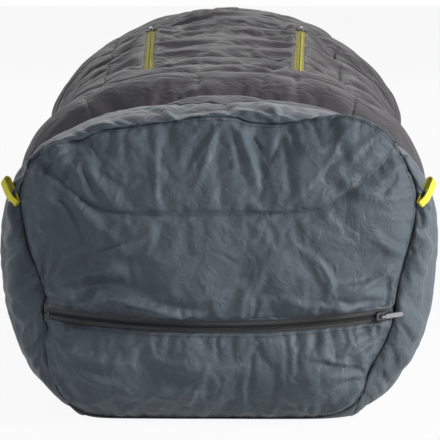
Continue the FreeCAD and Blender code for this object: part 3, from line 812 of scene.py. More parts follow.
body_places = body_rows()
base, around = body_grid(body_places)
normal = grid_normals(base)
rows = len(body_places)
place = np.repeat(body_places[:, None], COLUMNS, 1)
to_baffle = np.min([np.abs(place - b) for b in BAFFLES], axis=0)
bay = np.clip(np.searchsorted(BAFFLES, body_places, side="right") - 1, 0, len(BAFFLES) - 2)
span = np.array([BAFFLES[b + 1] - BAFFLES[b] for b in bay])[:, None]
share = (place - np.array([BAFFLES[b] for b in bay])[:, None]) / span
ground = np.abs(around[:, :1]) - np.abs(around)
split_distance = np.abs(np.abs(around) - np.abs(around[:, SPLIT_COLUMN : SPLIT_COLUMN + 1]))
vent_middle = 0.5 * (np.abs(around[:, VENT_A]) + np.abs(around[:, VENT_B]))[:, None]
vent_distance = np.maximum(np.abs(np.abs(around) - vent_middle) - 0.008, 0)
in_vents = ease(place, VENT_Y0 - 0.05, VENT_Y0) * (1 - ease(place, VENT_Y1, VENT_Y1 + 0.05))
top_share = ease(np.abs(around[:, :1]) - np.abs(around), 0.05, 0.16)
# How deep the seams between the rows are, and how high the rows' crests, from the footbox to the mouth.
DEPTHS = [(SLATE, 0.006), (0.20, 0.014), (0.27, 0.026), (0.44, 0.024), (0.59, 0.021), (0.727, 0.016),
          (0.862, 0.008), (MOUTH, 0.008)]
CRESTS = [(SLATE, -0.006), (0.20, -0.007), (0.355, 0.012), (0.515, 0.010), (0.727, -0.001), (1.0, -0.008),
          (MOUTH, -0.007)]
depth = np.interp(place, *zip(*DEPTHS))
crest = np.interp(place, *zip(*CRESTS))
channel = np.sin(math.pi * np.clip(share, 0, 1) ** 0.85) ** 0.75
puff = channel * (crest + depth) - depth
puff = np.where(puff < 0, puff * (0.25 + 0.75 * top_share), puff * (0.4 + 0.6 * top_share))
puff -= 0.003 * (1 - in_vents * np.exp(-vent_distance / 0.03))
puff -= 0.0012 * np.exp(-split_distance / 0.006) * ease(place, SLATE, SLATE + 0.03)
flatten = 1 - in_vents * np.exp(-((vent_distance / 0.022) ** 2))
puff = puff * flatten + 0.0022 * in_vents * np.exp(-((vent_distance / 0.018) ** 2))
height = 0.0042 * ribs(around + 3, to_baffle, 51, 0.013, 0.030)
height += 0.0010 * ribs(place, split_distance, 53, 0.012, 0.02)
height += 0.0016 * in_vents * ribs(place, vent_distance, 55, 0.012, 0.03)
for lean in (-1, 1):
    slant = (around + 0.9 * lean * place) / 0.035, (place - 0.6 * lean * around) / 0.085
    height += 0.0030 * ease(lean * around, -0.05, 0.10) * map_noise(*slant, 57 + lean)
height += 0.0026 * map_noise(around / 0.10, place / 0.024, 58) * top_share
height *= ease(vent_distance, 0, 0.012) * in_vents + (1 - in_vents)
ends = ease(place, SLATE, SLATE + 0.012) * (1 - ease(place, MOUTH - 0.01, MOUTH))
fade = ease(ground, 0, 0.03)
points = base + normal * ((puff * fade + height * fade) * ends)[..., None]
mouth_in = ease(body_places, MOUTH - 0.05, MOUTH) * 0.007
points -= normal * (mouth_in[:, None] * fade)[..., None]
for j, p in enumerate(body_places):
    if VENT_Y0 - 0.004 <= p <= VENT_Y1 + 0.004:
        for side, at in ((-1, VENT_A), (1, VENT_B)):
            edge = vent_place(p, side) + 0.0009 * VENT_OUT
            points[j, at] = edge * (1, 0, 1) + np.array([0, Y_SEAM + p, 0])
            points[j, COLUMNS - 1 - at] = points[j, at] * (-1, 1, 1)
wrap_line = run_along(WRAP_END)
first_line = run_along(base[0])
points[0] = read_at(first_line / first_line[-1], wrap_line / wrap_line[-1], WRAP_END)
row_middles = 0.5 * (body_places[:-1] + body_places[1:])
vent_rows = [j for j, p in enumerate(row_middles) if VENT_Y0 <= p <= VENT_Y1]
vent_cells = set()
for j in vent_rows:
    for i in range(VENT_A, VENT_B):
        vent_cells.add((j, i))
        vent_cells.add((j, COLUMNS - 2 - i))
points = points.reshape(-1, 3)
all_faces = grid_faces(rows, COLUMNS, lambda j, i: (j, i) not in vent_cells)
index = np.arange(rows * COLUMNS).reshape(rows, COLUMNS)
held = [index[0], index[-1], index[:, 0], index[:, -1]]
for b in BAFFLES[1:-1]:
    held.append(index[int(np.argmin(np.abs(body_places - b)))])
for c in (VENT_A, VENT_B):
    held.append(index[vent_rows[0] : vent_rows[-1] + 2, c])
    held.append(index[vent_rows[0] : vent_rows[-1] + 2, COLUMNS - 1 - c])
pins = np.unique(np.concatenate(held))
body_points = settle(points, all_faces, pins, pressure=1.3, growth=0.060, frames=18, bend=0.3, cap=0.012, quality=4)
body_points[:, 2] = np.maximum(body_points[:, 2], GROUNDED)
BODY = body_points.reshape(rows, COLUMNS, 3)
body_cloth = np.stack([around, place], -1)


LAST = COLUMNS - 1
# The body's panels, each from one column to another.
PANELS = [
    ("side_panel_right", 0, SPLIT_COLUMN),
    ("top_panel", SPLIT_COLUMN, LAST - SPLIT_COLUMN),
    ("side_panel_left", LAST - SPLIT_COLUMN, LAST),
]
for name, low, high in PANELS:
    part = BODY[:, low : high + 1]
    count, wide = part.shape[:2]
    faces = grid_faces(count, wide, lambda j, i: (j, i + low) not in vent_cells)
    used = np.zeros(count * wide, bool)
    used[np.array(faces).ravel()] = True
    renamed = np.cumsum(used) - 1
    faces = renamed[np.array(faces)]
    cloth_part = body_cloth[:, low : high + 1].reshape(-1, 2)[used]
    piece = make_piece(name, part.reshape(-1, 3)[used], faces, "quilt", "charcoal_shell_fabric", cloth_part)
    thicken(piece, SKIN)
    soft(piece, SHELL_FILL, name + "_shell", name + "_insulation")

# ---- Footbox floor and liners ----------------------------------------------------------------------

behind_wrap = body_places > SLATE + 0.001
edge_places = np.r_[places, body_places[behind_wrap]]
edge_right = np.vstack([WRAP[:, 0], BODY[behind_wrap, 0]])
edge_left = np.vstack([WRAP[:, -1], BODY[behind_wrap, -1]])
FLOOR_COLUMNS = 61
floor_places = np.r_[places[places < 0.06], np.arange(0.07, FLOOR_END, 0.012), FLOOR_END]
floor_front = respaced(floor_seam, count=FLOOR_COLUMNS)
floor_grid = []
for distance in floor_places:
    left, right = (read_at([distance], edge_places, edge[:, ::2])[0] for edge in (edge_left, edge_right))
    u = np.linspace(0, 1, FLOOR_COLUMNS)
    t = min(1.0, distance / 0.030)
    back = math.sqrt(max(0.0, 1 - (1 - t) ** 2.2))
    nearest = min(abs(distance - b) for b in FLOOR_QUILTING)
    quilting = 0.0035 * math.exp(-((nearest / 0.006) ** 2))
    x = floor_front[:, 0] * (1 - back) + (left[0] * (1 - u) + right[0] * u) * back
    rim = 0.0006 + (left[1] * (1 - u) + right[1] * u) * np.exp(-np.minimum(u, 1 - u) / 0.03)
    z = floor_front[:, 1] * (1 - back) + (rim + quilting * ease(np.minimum(u, 1 - u), 0, 0.08)) * back
    # The floor's corners follow the edges of the wrap.
    for edge, front, near in ((left, floor_front[0], u), (right, floor_front[-1], 1 - u)):
        pull = np.exp(-near / 0.05) * (1 - back)
        x = x + (edge[0] - front[0]) * pull
        z = z + (edge[1] - front[1]) * pull
    y = Y_SEAM + distance + (0.002 if distance == 0 else 0)
    floor_grid.append(np.column_stack([x, np.full(FLOOR_COLUMNS, y), z]))
floor_grid = np.array(floor_grid)
piece = grid_piece("footbox_floor", floor_grid, "slate_shell_fabric", floor_grid[:, :, :2], (0, 0, -1))
thicken(piece, SKIN)
soft(piece, 0.5, "footbox_floor_shell", "footbox_floor_insulation")


def inwards(at):
    return np.column_stack([-at[:, 0], np.zeros(len(at)), 0.18 - at[:, 2]])


liner_places = np.r_[np.arange(0.032, SLATE, 0.012), body_places[::2]]
if liner_places[-1] < MOUTH - 1e-6:
    liner_places = np.r_[liner_places, MOUTH]
liner_base, liner_around = body_grid(liner_places, WALL - SKIN / 2)
liner_normal = grid_normals(liner_base)
liner_place = np.repeat(liner_places[:, None], COLUMNS, 1)
liner_seam = np.min([np.abs(liner_place - b) for b in BAFFLES], axis=0)
liner_rim = np.minimum(np.arange(COLUMNS), np.arange(COLUMNS)[::-1])[None, :]
swell = 0.0045 * (1 - np.exp(-liner_seam / 0.018))
swell = swell + 0.0011 * ribs(liner_around + 7, liner_seam, 71, 0.014, 0.03)
swell += 0.0012 * map_noise(liner_around / 0.05, liner_place / 0.03, 72)
swell *= ease(liner_rim, 0, 4) * (1 - ease(liner_place, MOUTH - 0.02, MOUTH))
LINER = liner_base - liner_normal * swell[..., None]
liner_cloth = np.stack([liner_around, liner_place], -1)
split_row = int(np.argmin(np.abs(liner_places - SLATE)))


def finish_lining(piece, node):
    thicken(piece, LINING)
    soft(piece, LINER_FILL, node)


for name, low, high in [("footbox_wrap", 0, LAST)] + PANELS:
    rows_cut = slice(0, split_row + 1) if name == "footbox_wrap" else slice(split_row, None)
    cut = rows_cut, slice(low, high + 1)
    piece = grid_piece(name + "_lining", LINER[cut], "liner_fabric", liner_cloth[cut], inwards)
    finish_lining(piece, name + "_liner")

lining_rows = [k for k, p in enumerate(liner_places) if p <= FLOOR_END + 0.001]
lining_floor = []
for k in lining_rows:
    u = np.linspace(0, 1, FLOOR_COLUMNS)
    line = LINER[k, -1] * (1 - u)[:, None] + LINER[k, 0] * u[:, None]
    near = min(abs(liner_places[k] - b) for b in FLOOR_QUILTING)
    line[:, 2] += 0.004 * (1 - math.exp(-near / 0.02)) * ease(np.minimum(u, 1 - u), 0, 0.15)
    lining_floor.append(line)
lining_floor = np.array(lining_floor)
piece = grid_piece("footbox_floor_lining", lining_floor, "liner_fabric", lining_floor[:, :, :2], (0, 0, 1))
finish_lining(piece, "footbox_floor_liner")

for name, loop in (("upper", upper_loop), ("lower", lower_loop)):
    flat, faces = filled(respaced(np.vstack([loop, loop[:1]]), count=len(loop) // 2)[:-1], [], 0.008)
    ratio = seam_ratio(flat)
    edge, along = to_line(flat, SEAM)
    away = flat - PANEL_CENTRE
    radius = np.maximum(np.linalg.norm(away, axis=1), 1e-6)
    keep = np.maximum(0.2, 1 - 0.029 * ratio**3 / radius)
    shrunk = PANEL_CENTRE + away * keep[:, None]
    shrunk[:, 1] = np.maximum(shrunk[:, 1], 0.030)
    y = Y_SEAM + 0.029 - CROWN * (1 - ratio**2.4) + 0.004 * (1 - np.exp(-edge / 0.02))
    y += 0.0015 * ribs(along, edge, 81, 0.014, 0.03)
    points = np.column_stack([shrunk[:, 0], y, shrunk[:, 1]])
    name = "foot_panel_" + name
    piece = make_piece(name + "_lining", points, faces, "quilt", "liner_fabric", flat, (0, 1, 0))
    finish_lining(piece, name + "_liner")


# ---- Bindings, tapes and webbing -------------------------------------------------------------------


def swept(name, centres, sides, outs, profile, body="quilt", slot=None, closed=False):
    """A strip whose section, points (side, out), runs along a line of centres."""
    centres, sides, outs = (np.asarray(v, float) for v in (centres, sides, outs))
    profile = np.asarray(profile, float)
    n, m = len(centres), len(profile)
    if profile.ndim == 2:
        profile = np.repeat(profile[None], n, 0)
    else:
        m = profile.shape[1]
    points = centres[:, None] + sides[:, None] * profile[:, :, :1] + outs[:, None] * profile[:, :, 1:]
    cloth = np.stack(np.meshgrid(run_along(profile[0]), run_along(centres)), -1)
    faces = []
    for k in range(n if closed else n - 1):
        for i in range(m):
            a, b = k * m + i, k * m + (i + 1) % m
            c = ((k + 1) % n) * m
            faces.append((a, b, c + (i + 1) % m, c + i))
    if not closed:
        faces.append(tuple(range(m))[::-1])
        faces.append(tuple((n - 1) * m + i for i in range(m)))
    mesh = bpy.data.meshes.new(name)
    mesh.from_pydata([tuple(p) for p in points.reshape(-1, 3)], [], faces)
    face_outwards(mesh)
    return linked(name, mesh, body, slot, cloth.reshape(-1, 2))


def unit(v):
    v = np.asarray(v, float)
    return v / np.maximum(np.linalg.norm(v, axis=-1, keepdims=True), 1e-12)


def rounded(half_side, half_out, count=16, power=3.0):
    """A rounded section, wider than an ellipse."""
    a = np.linspace(0, 2 * math.pi, count, endpoint=False)
    c, s = np.cos(a), np.sin(a)
    side = half_side * np.sign(c) * np.abs(c) ** (2 / power)
    return np.column_stack([side, half_out * np.sign(s) * np.abs(s) ** (2 / power)])


def held_out(way, centres):
    """The same way at every point of a line."""
    return np.repeat([way], len(centres), 0)


# The hem round the mouth joins shell and liner.
outer = BODY[-1]
inner = LINER[-1]
middle = 0.5 * (outer + inner)
middle[:, 1] = Y_MOUTH + 0.0035
span = np.linalg.norm((outer - inner) * (1, 0, 1), axis=1)
gathers = 0.0008 * map_noise(np.linspace(0, 1.1, COLUMNS) / 0.012, np.zeros(COLUMNS), 91)
profile = np.array([rounded(0.5 * w + 0.0012, 0.0048 + g, 18, 2.6) for w, g in zip(span, gathers)])
across = unit((outer - inner) * (1, 0, 1))
piece = swept("mouth_hem", middle, across, held_out(BACKWARDS, middle), profile, "quilt", "hem_binding")
soft(piece, 0.5, "neck_hem")

rows_in = body_places >= FLOOR_END - 0.004
for side, column in (("right", 0), ("left", -1)):
    outer = BODY[rows_in, column]
    inner = read_at(body_places[rows_in], liner_places, LINER[:, column])
    outer = outer + (0, 0, 0.003)
    middle = 0.5 * (outer + inner) + (0, 0, 0.0008)
    across = unit((outer - inner) * (1, 0, 1))
    outs = np.cross(across, [0, 1, 0]) * (1 if side == "right" else -1)
    outs = np.where(outs[:, 2:] > 0, -outs, outs)
    span = np.linalg.norm((outer - inner) * (1, 0, 1), axis=1)
    gathers = 0.0006 * map_noise(body_places[rows_in] / 0.012, 0.0, 93)
    profile = np.array([rounded(0.5 * w + 0.0012, 0.0026 + g, 14, 2.6) for w, g in zip(span, gathers)])
    piece = swept("ground_hem_" + side, middle, across, outs, profile, "quilt", "hem_binding")
    lift(piece, HEM_GROUNDED)
    soft(piece, HEM_FILL, "side_hem_" + side)

outer = respaced(floor_grid[-1], count=80)
inner = respaced(lining_floor[-1], count=80)
middle = 0.5 * (outer + inner)
middle[:, 1] = Y_FLOOR_END + 0.0025
span = np.linalg.norm((outer - inner) * (0, 0, 1), axis=1)
profile = np.array([rounded(0.5 * w, 0.0040, 14, 2.6) for w in span])
sides = held_out(UPWARDS, middle)
piece = swept("floor_hem", middle, sides, held_out(BACKWARDS, middle), profile, "quilt", "hem_binding")
lift(piece, HEM_GROUNDED)
soft(piece, HEM_FILL, "footbox_floor_hem")

# Binding over the raw edges inside the perimeter seam.
ring = respaced(SEAM, 0.006)[:-1]
away = ring - PANEL_CENTRE
ring_in = PANEL_CENTRE + away * (1 - 0.029 / np.linalg.norm(away, axis=1))[:, None]
ring_in[:, 1] = np.maximum(ring_in[:, 1], 0.031)
centres = np.column_stack([ring_in[:, 0], np.full(len(ring_in), Y_SEAM + 0.030), ring_in[:, 1]])
sides = unit(np.column_stack([away[:, 0], np.zeros(len(away)), away[:, 1]]))
piece = swept("inside_seam_binding", centres, sides, held_out(BACKWARDS, centres), rounded(0.0022, 0.0040, 12),
              "quilt", "hem_binding", True)
soft(piece, HEM_FILL, "foot_seam_binding")

# Foot zip: woven tapes with raised ribs, coils of wound filament, and the draft flap behind.
RIBBED = [
    (0.00035, -0.0004), (0.0017, -0.0004), (0.0096, -0.0004), (0.0096, 0.0001), (0.0072, 0.0002), (0.0066, 0.0006),
    (0.0060, 0.0002), (0.0052, 0.0002), (0.0046, 0.0007), (0.0040, 0.0002), (0.0033, 0.0003), (0.0028, 0.0008),
    (0.0022, 0.0009), (0.0014, 0.0009), (0.0006, 0.0008), (0.00035, 0.0004),
]


COIL_RADIUS = 0.00095
COIL_PITCH = 0.0014
COIL_SIDES = 8
FILAMENT = 0.00028


def coil(name, centres, sides, outs, slot, node):
    """A zip's coil: one filament wound round a line, a few flat sides to each turn."""
    length = run_along(centres)
    s = np.linspace(0.001, length[-1] - 0.001, int(length[-1] / COIL_PITCH) * COIL_SIDES + 1)
    a = np.arange(len(s)) * 2 * math.pi / COIL_SIDES
    centre, side, out = (read_at(s, length, rows) for rows in (centres, sides, outs))
    side, out = unit(side), unit(out)
    wire = centre + COIL_RADIUS * 0.80 * (side * np.cos(a)[:, None] + out * np.sin(a)[:, None])
    along = unit(np.gradient(wire, axis=0))
    outward = unit(wire - centre)
    binormal = np.cross(along, outward)
    turns = np.linspace(0, 2 * math.pi, 5, endpoint=False)
    thick = [(FILAMENT * math.cos(b), FILAMENT * math.sin(b)) for b in turns]
    piece = swept(name, wire, outward, binormal, thick, "quilt", slot)
    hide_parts(node)


def foot_frames(step, up, out, start=-ZIP_HALF_ANGLE, end=ZIP_HALF_ANGLE):
    """Points along the foot zip, with the ways across and out at each."""
    angles = np.linspace(start, end, max(2, int((end - start) * ZIP_RADIUS / step)))
    centres = np.array([zip_point(a, up, out) for a in angles])
    outs = np.array([zip_point(a, 0, 1) - zip_point(a, 0, 0) for a in angles])
    return centres, held_out(ZIP_AXIS, angles), outs


for name, side in (("upper", 1), ("lower", -1)):
    centres, sides, outs = foot_frames(0.004, 0.0, 0.0)
    piece = swept("foot_tape_" + name, centres, sides * side, outs, RIBBED, "quilt", "dark_zip_tape")
    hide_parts("foot_zip_tape_" + name)
    centres, sides, outs = foot_frames(0.003, side * 0.0015, 0.00045 + 0.00105)
    coil("foot_coil_" + name, centres, sides * side, outs, "dark_zip_coil", "foot_zip_coil_" + name)
centres, sides, outs = foot_frames(0.006, 0.0, -0.0075, -0.97 * ZIP_HALF_ANGLE, 0.97 * ZIP_HALF_ANGLE)
profile = np.array([rounded(0.020 + 0.001 * math.sin(9 * k), 0.0030, 16, 3) for k in range(len(centres))])
piece = swept("draft_flap", centres, sides, outs, profile, "quilt", "liner_fabric")
soft(piece, LINER_FILL, "foot_zip_draft_flap")

# Vent zips.
for hand, mirror in HANDS:
    t = np.arange(0, VENT_LENGTH + 1e-9, 0.005)
    line = (VENT_START + t[:, None] * VENT_ALONG) * mirror
    outs = held_out(VENT_OUT * mirror, t)
    vent = "vent_" + hand
    for part, side in (("inner", 1), ("outer", -1)):
        sides = held_out(VENT_ACROSS * mirror * side, t)
        piece = swept(vent + "_web_" + part, line, sides, outs, RIBBED, "quilt", "yellow_zip_tape")
        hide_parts(vent + "_tape_" + part)
        middle = (line + sides * 0.0015 + outs * 0.0015)[1:-1]
        coil(vent + "_filament_" + part, middle, sides[1:-1], outs[1:-1], "yellow_zip_coil",
             vent + "_coil_" + part)

# Hang loops of ribbed webbing.
WEB = [
    (-0.0050, -0.0004), (-0.0050, 0.0004), (-0.0046, 0.0008), (-0.0033, 0.0008), (-0.0030, 0.0006),
    (-0.0027, 0.0008), (-0.0010, 0.0008), (-0.0007, 0.0006), (-0.0004, 0.0008), (0.0004, 0.0008), (0.0007, 0.0006),
    (0.0010, 0.0008), (0.0027, 0.0008), (0.0030, 0.0006), (0.0033, 0.0008), (0.0046, 0.0008), (0.0050, 0.0004),
    (0.0050, -0.0004), (0.0046, -0.0008), (-0.0046, -0.0008),
]
# The folded webbing's middle line, as (along, out): the near leg, the fold and the far leg back to the seam.
NEAR_LEG = [(0.0, 0.0008), (0.006, 0.0008), (0.014, 0.0007), (0.022, 0.0008), (0.0279, 0.0008)]
FAR_LEG = [(0.0279, 0.0074), (0.021, 0.0075), (0.013, 0.0073), (0.007, 0.0063), (0.003, 0.0042), (0.0006, 0.0027),
           (0.0, 0.0024)]
FOLD_RADIUS = 0.0033
FOLD = []
for a in np.linspace(-78, 78, 11):
    a = math.radians(a)
    FOLD.append((0.0279 + FOLD_RADIUS * math.cos(a), 0.0041 + FOLD_RADIUS * math.sin(a)))
path = through(NEAR_LEG + FOLD + FAR_LEG, 0.0007)
turn = unit(np.gradient(path, axis=0))
for hand, mirror in HANDS:
    root = joint_value("hang_loop_" + hand + "_swing", "pos_m")
    length = unit(np.array([0.3881, 0.5124, 0.7660]) * mirror)
    width = unit(np.array([-0.4625, -0.6107, 0.6428]) * mirror)
    normal_out = unit(np.array([0.7972, -0.6037, 0.0]) * mirror)
    centres = root + path[:, :1] * length + path[:, 1:] * normal_out
    outs = unit(-turn[:, 1:] * length + turn[:, :1] * normal_out)
    sides = held_out(width, path)
    piece = swept("webbing_loop_" + hand, centres, sides, outs, WEB, "loop_" + hand, "yellow_webbing")
    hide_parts("hang_loop_" + hand)

# Stitching, thread by thread.


STITCH = 0.0026
STITCH_STEP = 0.0034
THREAD = 0.00032


def stitches(name, line, outs, slot):
    """A row of short raised threads along a line."""
    run = run_along(line)
    points, faces, cloth = [], [], []
    for s in np.arange(0.001, run[-1] - STITCH, STITCH_STEP):
        at = read_at([s, s + 0.2 * STITCH, s + 0.8 * STITCH, s + STITCH], run, line)
        out = unit(read_at([s], run, outs)[0])
        along = unit(at[-1] - at[0])
        side = np.cross(along, out)
        base = len(points)
        for k, rise in enumerate((-0.0002, 0.0003, 0.0003, -0.0002)):
            for a in np.linspace(0, 2 * math.pi, 5, endpoint=False):
                points.append(at[k] + out * (rise + THREAD * math.sin(a)) + side * THREAD * math.cos(a))
                cloth.append((s, a))
        for k in range(3):
            for i in range(5):
                a, b = base + 5 * k + i, base + 5 * k + (i + 1) % 5
                faces.append((a, a + 5, b + 5, b))
        faces.append(tuple(base + i for i in range(5)))
        faces.append(tuple(base + 15 + i for i in range(5))[::-1])
    face_outwards(make_piece(name, points, faces, "quilt", slot, cloth).data)


def tree_of(name):
    mesh = bpy.data.objects[name].data
    points = [v.co.copy() for v in mesh.vertices]
    return BVHTree.FromPolygons(points, [tuple(p.vertices) for p in mesh.polygons])


def on_front(line):
    """Where points (across, up) land on the foot end panel, and which way it faces there."""
    hits, facing = [], []
    for x, z in line:
        best = None
        for tree in FRONT_TREES:
            hit = tree.ray_cast(Vector((x, -1.2, z)), Vector((0, 1, 0)))
            if hit[0] is not None and (best is None or hit[0].y < best[0].y):
                best = hit
        if best is not None:
            hits.append(tuple(best[0]))
            facing.append(tuple(best[1]))
    return np.array(hits), np.array(facing)


FRONT_TREES = [tree_of("foot_panel_upper"), tree_of("foot_panel_lower")]
line, facing = on_front(respaced(smile_inside, 0.0015))
stitches("smile_stitching", line, facing, "hem_binding")
ring = respaced(SEAM, 0.0015)
away = unit(ring - PANEL_CENTRE)
line, facing = on_front(ring - 0.0030 * away)
stitches("perimeter_stitching", line, facing, "hem_binding")
for name, up, side in (("upper", 0.0105, 1), ("lower", -0.0105, -1)):
    xs = np.linspace(-0.168, 0.168, 240)
    line, facing = on_front(np.column_stack([xs, zip_edge(xs, up)[1]]))
    stitches("zip_stitching_" + name, line, facing, "hem_binding")
t = np.arange(0.004, VENT_LENGTH - 0.004, 0.002)[:, None]
for hand, mirror in HANDS:
    for part, side in (("inner", 1), ("outer", -1)):
        line = (VENT_START + t * VENT_ALONG + side * 0.0054 * VENT_ACROSS + 0.00035 * VENT_OUT) * mirror
        outs = held_out(VENT_OUT * mirror, t)
        stitches("vent_" + hand + "_stitching_" + part, line, outs, "yellow_zip_tape")

# A plain woven patch on the top.
box_low, box_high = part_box("label_patch")
PATCH_ROWS, PATCH_COLUMNS = 9, 22
top_tree = tree_of("top_panel")
patch = []
for y in np.linspace(box_low[1], box_high[1], PATCH_ROWS):
    for x in np.linspace(box_low[0], box_high[0], PATCH_COLUMNS):
        hit = top_tree.ray_cast(Vector((x, y, 0.6)), Vector((0, 0, -1)))
        patch.append((x, y, hit[0].z))
patch = np.array(patch).reshape(PATCH_ROWS, PATCH_COLUMNS, 3)
level = patch[:, :, 2].copy()
for _ in range(6):
    level[1:-1] = np.maximum(level[1:-1], 0.5 * (level[:-2] + level[2:]))
    level[:, 1:-1] = np.maximum(level[:, 1:-1], 0.5 * (level[:, :-2] + level[:, 2:]))
patch[:, :, 2] = level + 0.0012
piece = grid_piece("woven_patch", patch, "woven_label", patch[:, :, :2] - patch[0, 0, :2], (0, 0, 1))
thicken(piece, 0.0009)
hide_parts("label_patch")

# ---- Materials -------------------------------------------------------------------------------------


def new_node(nodes, kind, **inputs):
    """A new node with values for its inputs, whose names have _ for a space."""
    made = nodes.new("ShaderNode" + kind)
    for name, value in inputs.items():
        made.inputs[name.replace("_", " ")].default_value = value
    return made


class Finish:
    """A material under construction, with short ways to add and join nodes."""

    def __init__(self, name, rough, metallic=0.0):
        self.material = bpy.data.materials.new(name)
        self.material.use_nodes = True
        self.nodes = self.material.node_tree.nodes
        self.links = self.material.node_tree.links
        self.shader = self.nodes["Principled BSDF"]
        self.shader.inputs["Roughness"].default_value = rough
        self.shader.inputs["Metallic"].default_value = metallic
        self.place = self.nodes.new("ShaderNodeTexCoord")
        self.bump = None

    def node(self, kind, **inputs):
        return new_node(self.nodes, kind, **inputs)

    def join(self, source, target):
        self.links.new(source, target)

    def noise(self, scale, detail=3.0, rough=0.5, stretch=(1, 1, 1), distortion=0.0):
        mapping = self.node("Mapping", Scale=stretch)
        self.join(self.place.outputs["Object"], mapping.inputs["Vector"])
        made = self.node("TexNoise", Scale=scale, Detail=detail, Roughness=rough, Distortion=distortion)
        self.join(mapping.outputs["Vector"], made.inputs["Vector"])
        return made.outputs["Fac"]

    def threads(self, period, direction="X"):
        """Parallel threads that far apart, in metres."""
        made = self.node("TexWave", Scale=2 * math.pi / 20 / period, Distortion=0.6, Detail=1.0)
        made.bands_direction = direction
        self.join(self.place.outputs["UV"], made.inputs["Vector"])
        return made.outputs["Fac"]

    def maths(self, kind, a, b):
        made = self.node("Math")
        made.operation = kind
        for value, target in ((a, made.inputs[0]), (b, made.inputs[1])):
            if isinstance(value, (int, float)):
                target.default_value = value
            else:
                self.join(value, target)
        return made.outputs[0]

    def speckled(self, source, colour, *stops):
        """Colours the shader by a ramp, whose stops are (position, share of the colour)."""
        made = self.node("ValToRGB")
        marks = made.color_ramp.elements
        for mark, (position, share) in ((marks[0], stops[0]), (marks[1], stops[-1])):
            mark.position = position
            mark.color = (*(c * share for c in colour), 1)
        for position, share in stops[1:-1]:
            marks.new(position).color = (*(c * share for c in colour), 1)
        self.join(source, made.inputs["Fac"])
        self.join(made.outputs["Color"], self.shader.inputs["Base Color"])

    def scaled(self, source, low, high):
        made = self.node("MapRange", From_Min=0.25, From_Max=0.75, To_Min=low, To_Max=high)
        self.join(source, made.inputs["Value"])
        return made.outputs["Result"]

    def raised(self, height, distance, strength=1.0):
        made = self.node("Bump", Distance=distance, Strength=strength)
        self.join(height, made.inputs["Height"])
        if self.bump is not None:
            self.join(self.bump, made.inputs["Normal"])
        self.bump = made.outputs["Normal"]
        self.join(self.bump, self.shader.inputs["Normal"])



THREAD_PITCH = 0.00055


def nylon(name, colour, rough, crinkle, specular, stretch=(1, 1, 1)):
    """Coated taffeta: fine square weave, small dry creases from being packed, and uneven gloss."""
    finish = Finish(name, rough)
    wide = finish.noise(7.0, 3.0, 0.55)
    dust = finish.noise(60.0, 4.0, 0.6)
    mixed = finish.maths("ADD", finish.maths("MULTIPLY", wide, 0.72), finish.maths("MULTIPLY", dust, 0.28))
    finish.speckled(mixed, colour, (0.30, 0.84), (0.50, 1), (0.70, 1.15))
    gloss = finish.scaled(finish.noise(28.0, 3.0, 0.6), rough - 0.05, rough + 0.07)
    finish.join(gloss, finish.shader.inputs["Roughness"])
    finish.shader.inputs["Specular IOR Level"].default_value = specular
    folds = finish.noise(17.0, 2.0, 0.5, stretch, 0.6)
    finish.raised(finish.maths("ABSOLUTE", finish.maths("SUBTRACT", folds, 0.5), 0.0), crinkle * 3.2)
    creases = finish.noise(55.0, 3.0, 0.55, stretch, 0.8)
    finish.raised(finish.maths("ABSOLUTE", finish.maths("SUBTRACT", creases, 0.5), 0.0), crinkle)
    square = finish.maths("MULTIPLY", finish.threads(THREAD_PITCH, "X"), finish.threads(THREAD_PITCH, "Y"))
    finish.raised(square, 0.00004, 0.35)
    return finish.material


def twill(name, colour, period, relief, rough=0.75, direction="X"):
    """A narrow woven tape or webbing, with ribs across it."""
    finish = Finish(name, rough)
    wide = finish.noise(45.0, 3.0, 0.6)
    rib = finish.threads(period, direction)
    fine = finish.threads(period * 0.45, "Y" if direction == "X" else "X")
    # Colour darker in the grooves between the ribs is painted shade; the broad noise mixed in is tone that differs
    # at random.
    rib_shade_and_tone = finish.maths("ADD", finish.maths("MULTIPLY", rib, 0.45), finish.maths("MULTIPLY", wide, 0.55))
    finish.speckled(rib_shade_and_tone, colour, (0.2, 0.66), (0.5, 1), (0.8, 1.22))
    finish.raised(finish.maths("ADD", rib, finish.maths("MULTIPLY", fine, 0.5)), relief, 0.8)
    finish.shader.inputs["Sheen Weight"].default_value = 0.15
    return finish.material


def plastic(name, colour, rough):
    finish = Finish(name, rough)
    speck = finish.noise(300.0, 3.0, 0.6)
    finish.speckled(speck, colour, (0.3, 0.8), (0.7, 1.15))
    finish.raised(speck, 0.00005, 0.4)
    return finish.material


def metal(name, colour, rough):
    finish = Finish(name, rough, 0.85)
    scuff = finish.noise(420.0, 4.0, 0.65, (1, 1, 3))
    finish.speckled(scuff, colour, (0.3, 0.72), (0.55, 1), (0.75, 1.25))
    gloss = finish.scaled(finish.noise(160.0, 3.0, 0.6), rough - 0.08, rough + 0.14)
    finish.join(gloss, finish.shader.inputs["Roughness"])
    finish.raised(scuff, 0.00006, 0.5)
    return finish.material


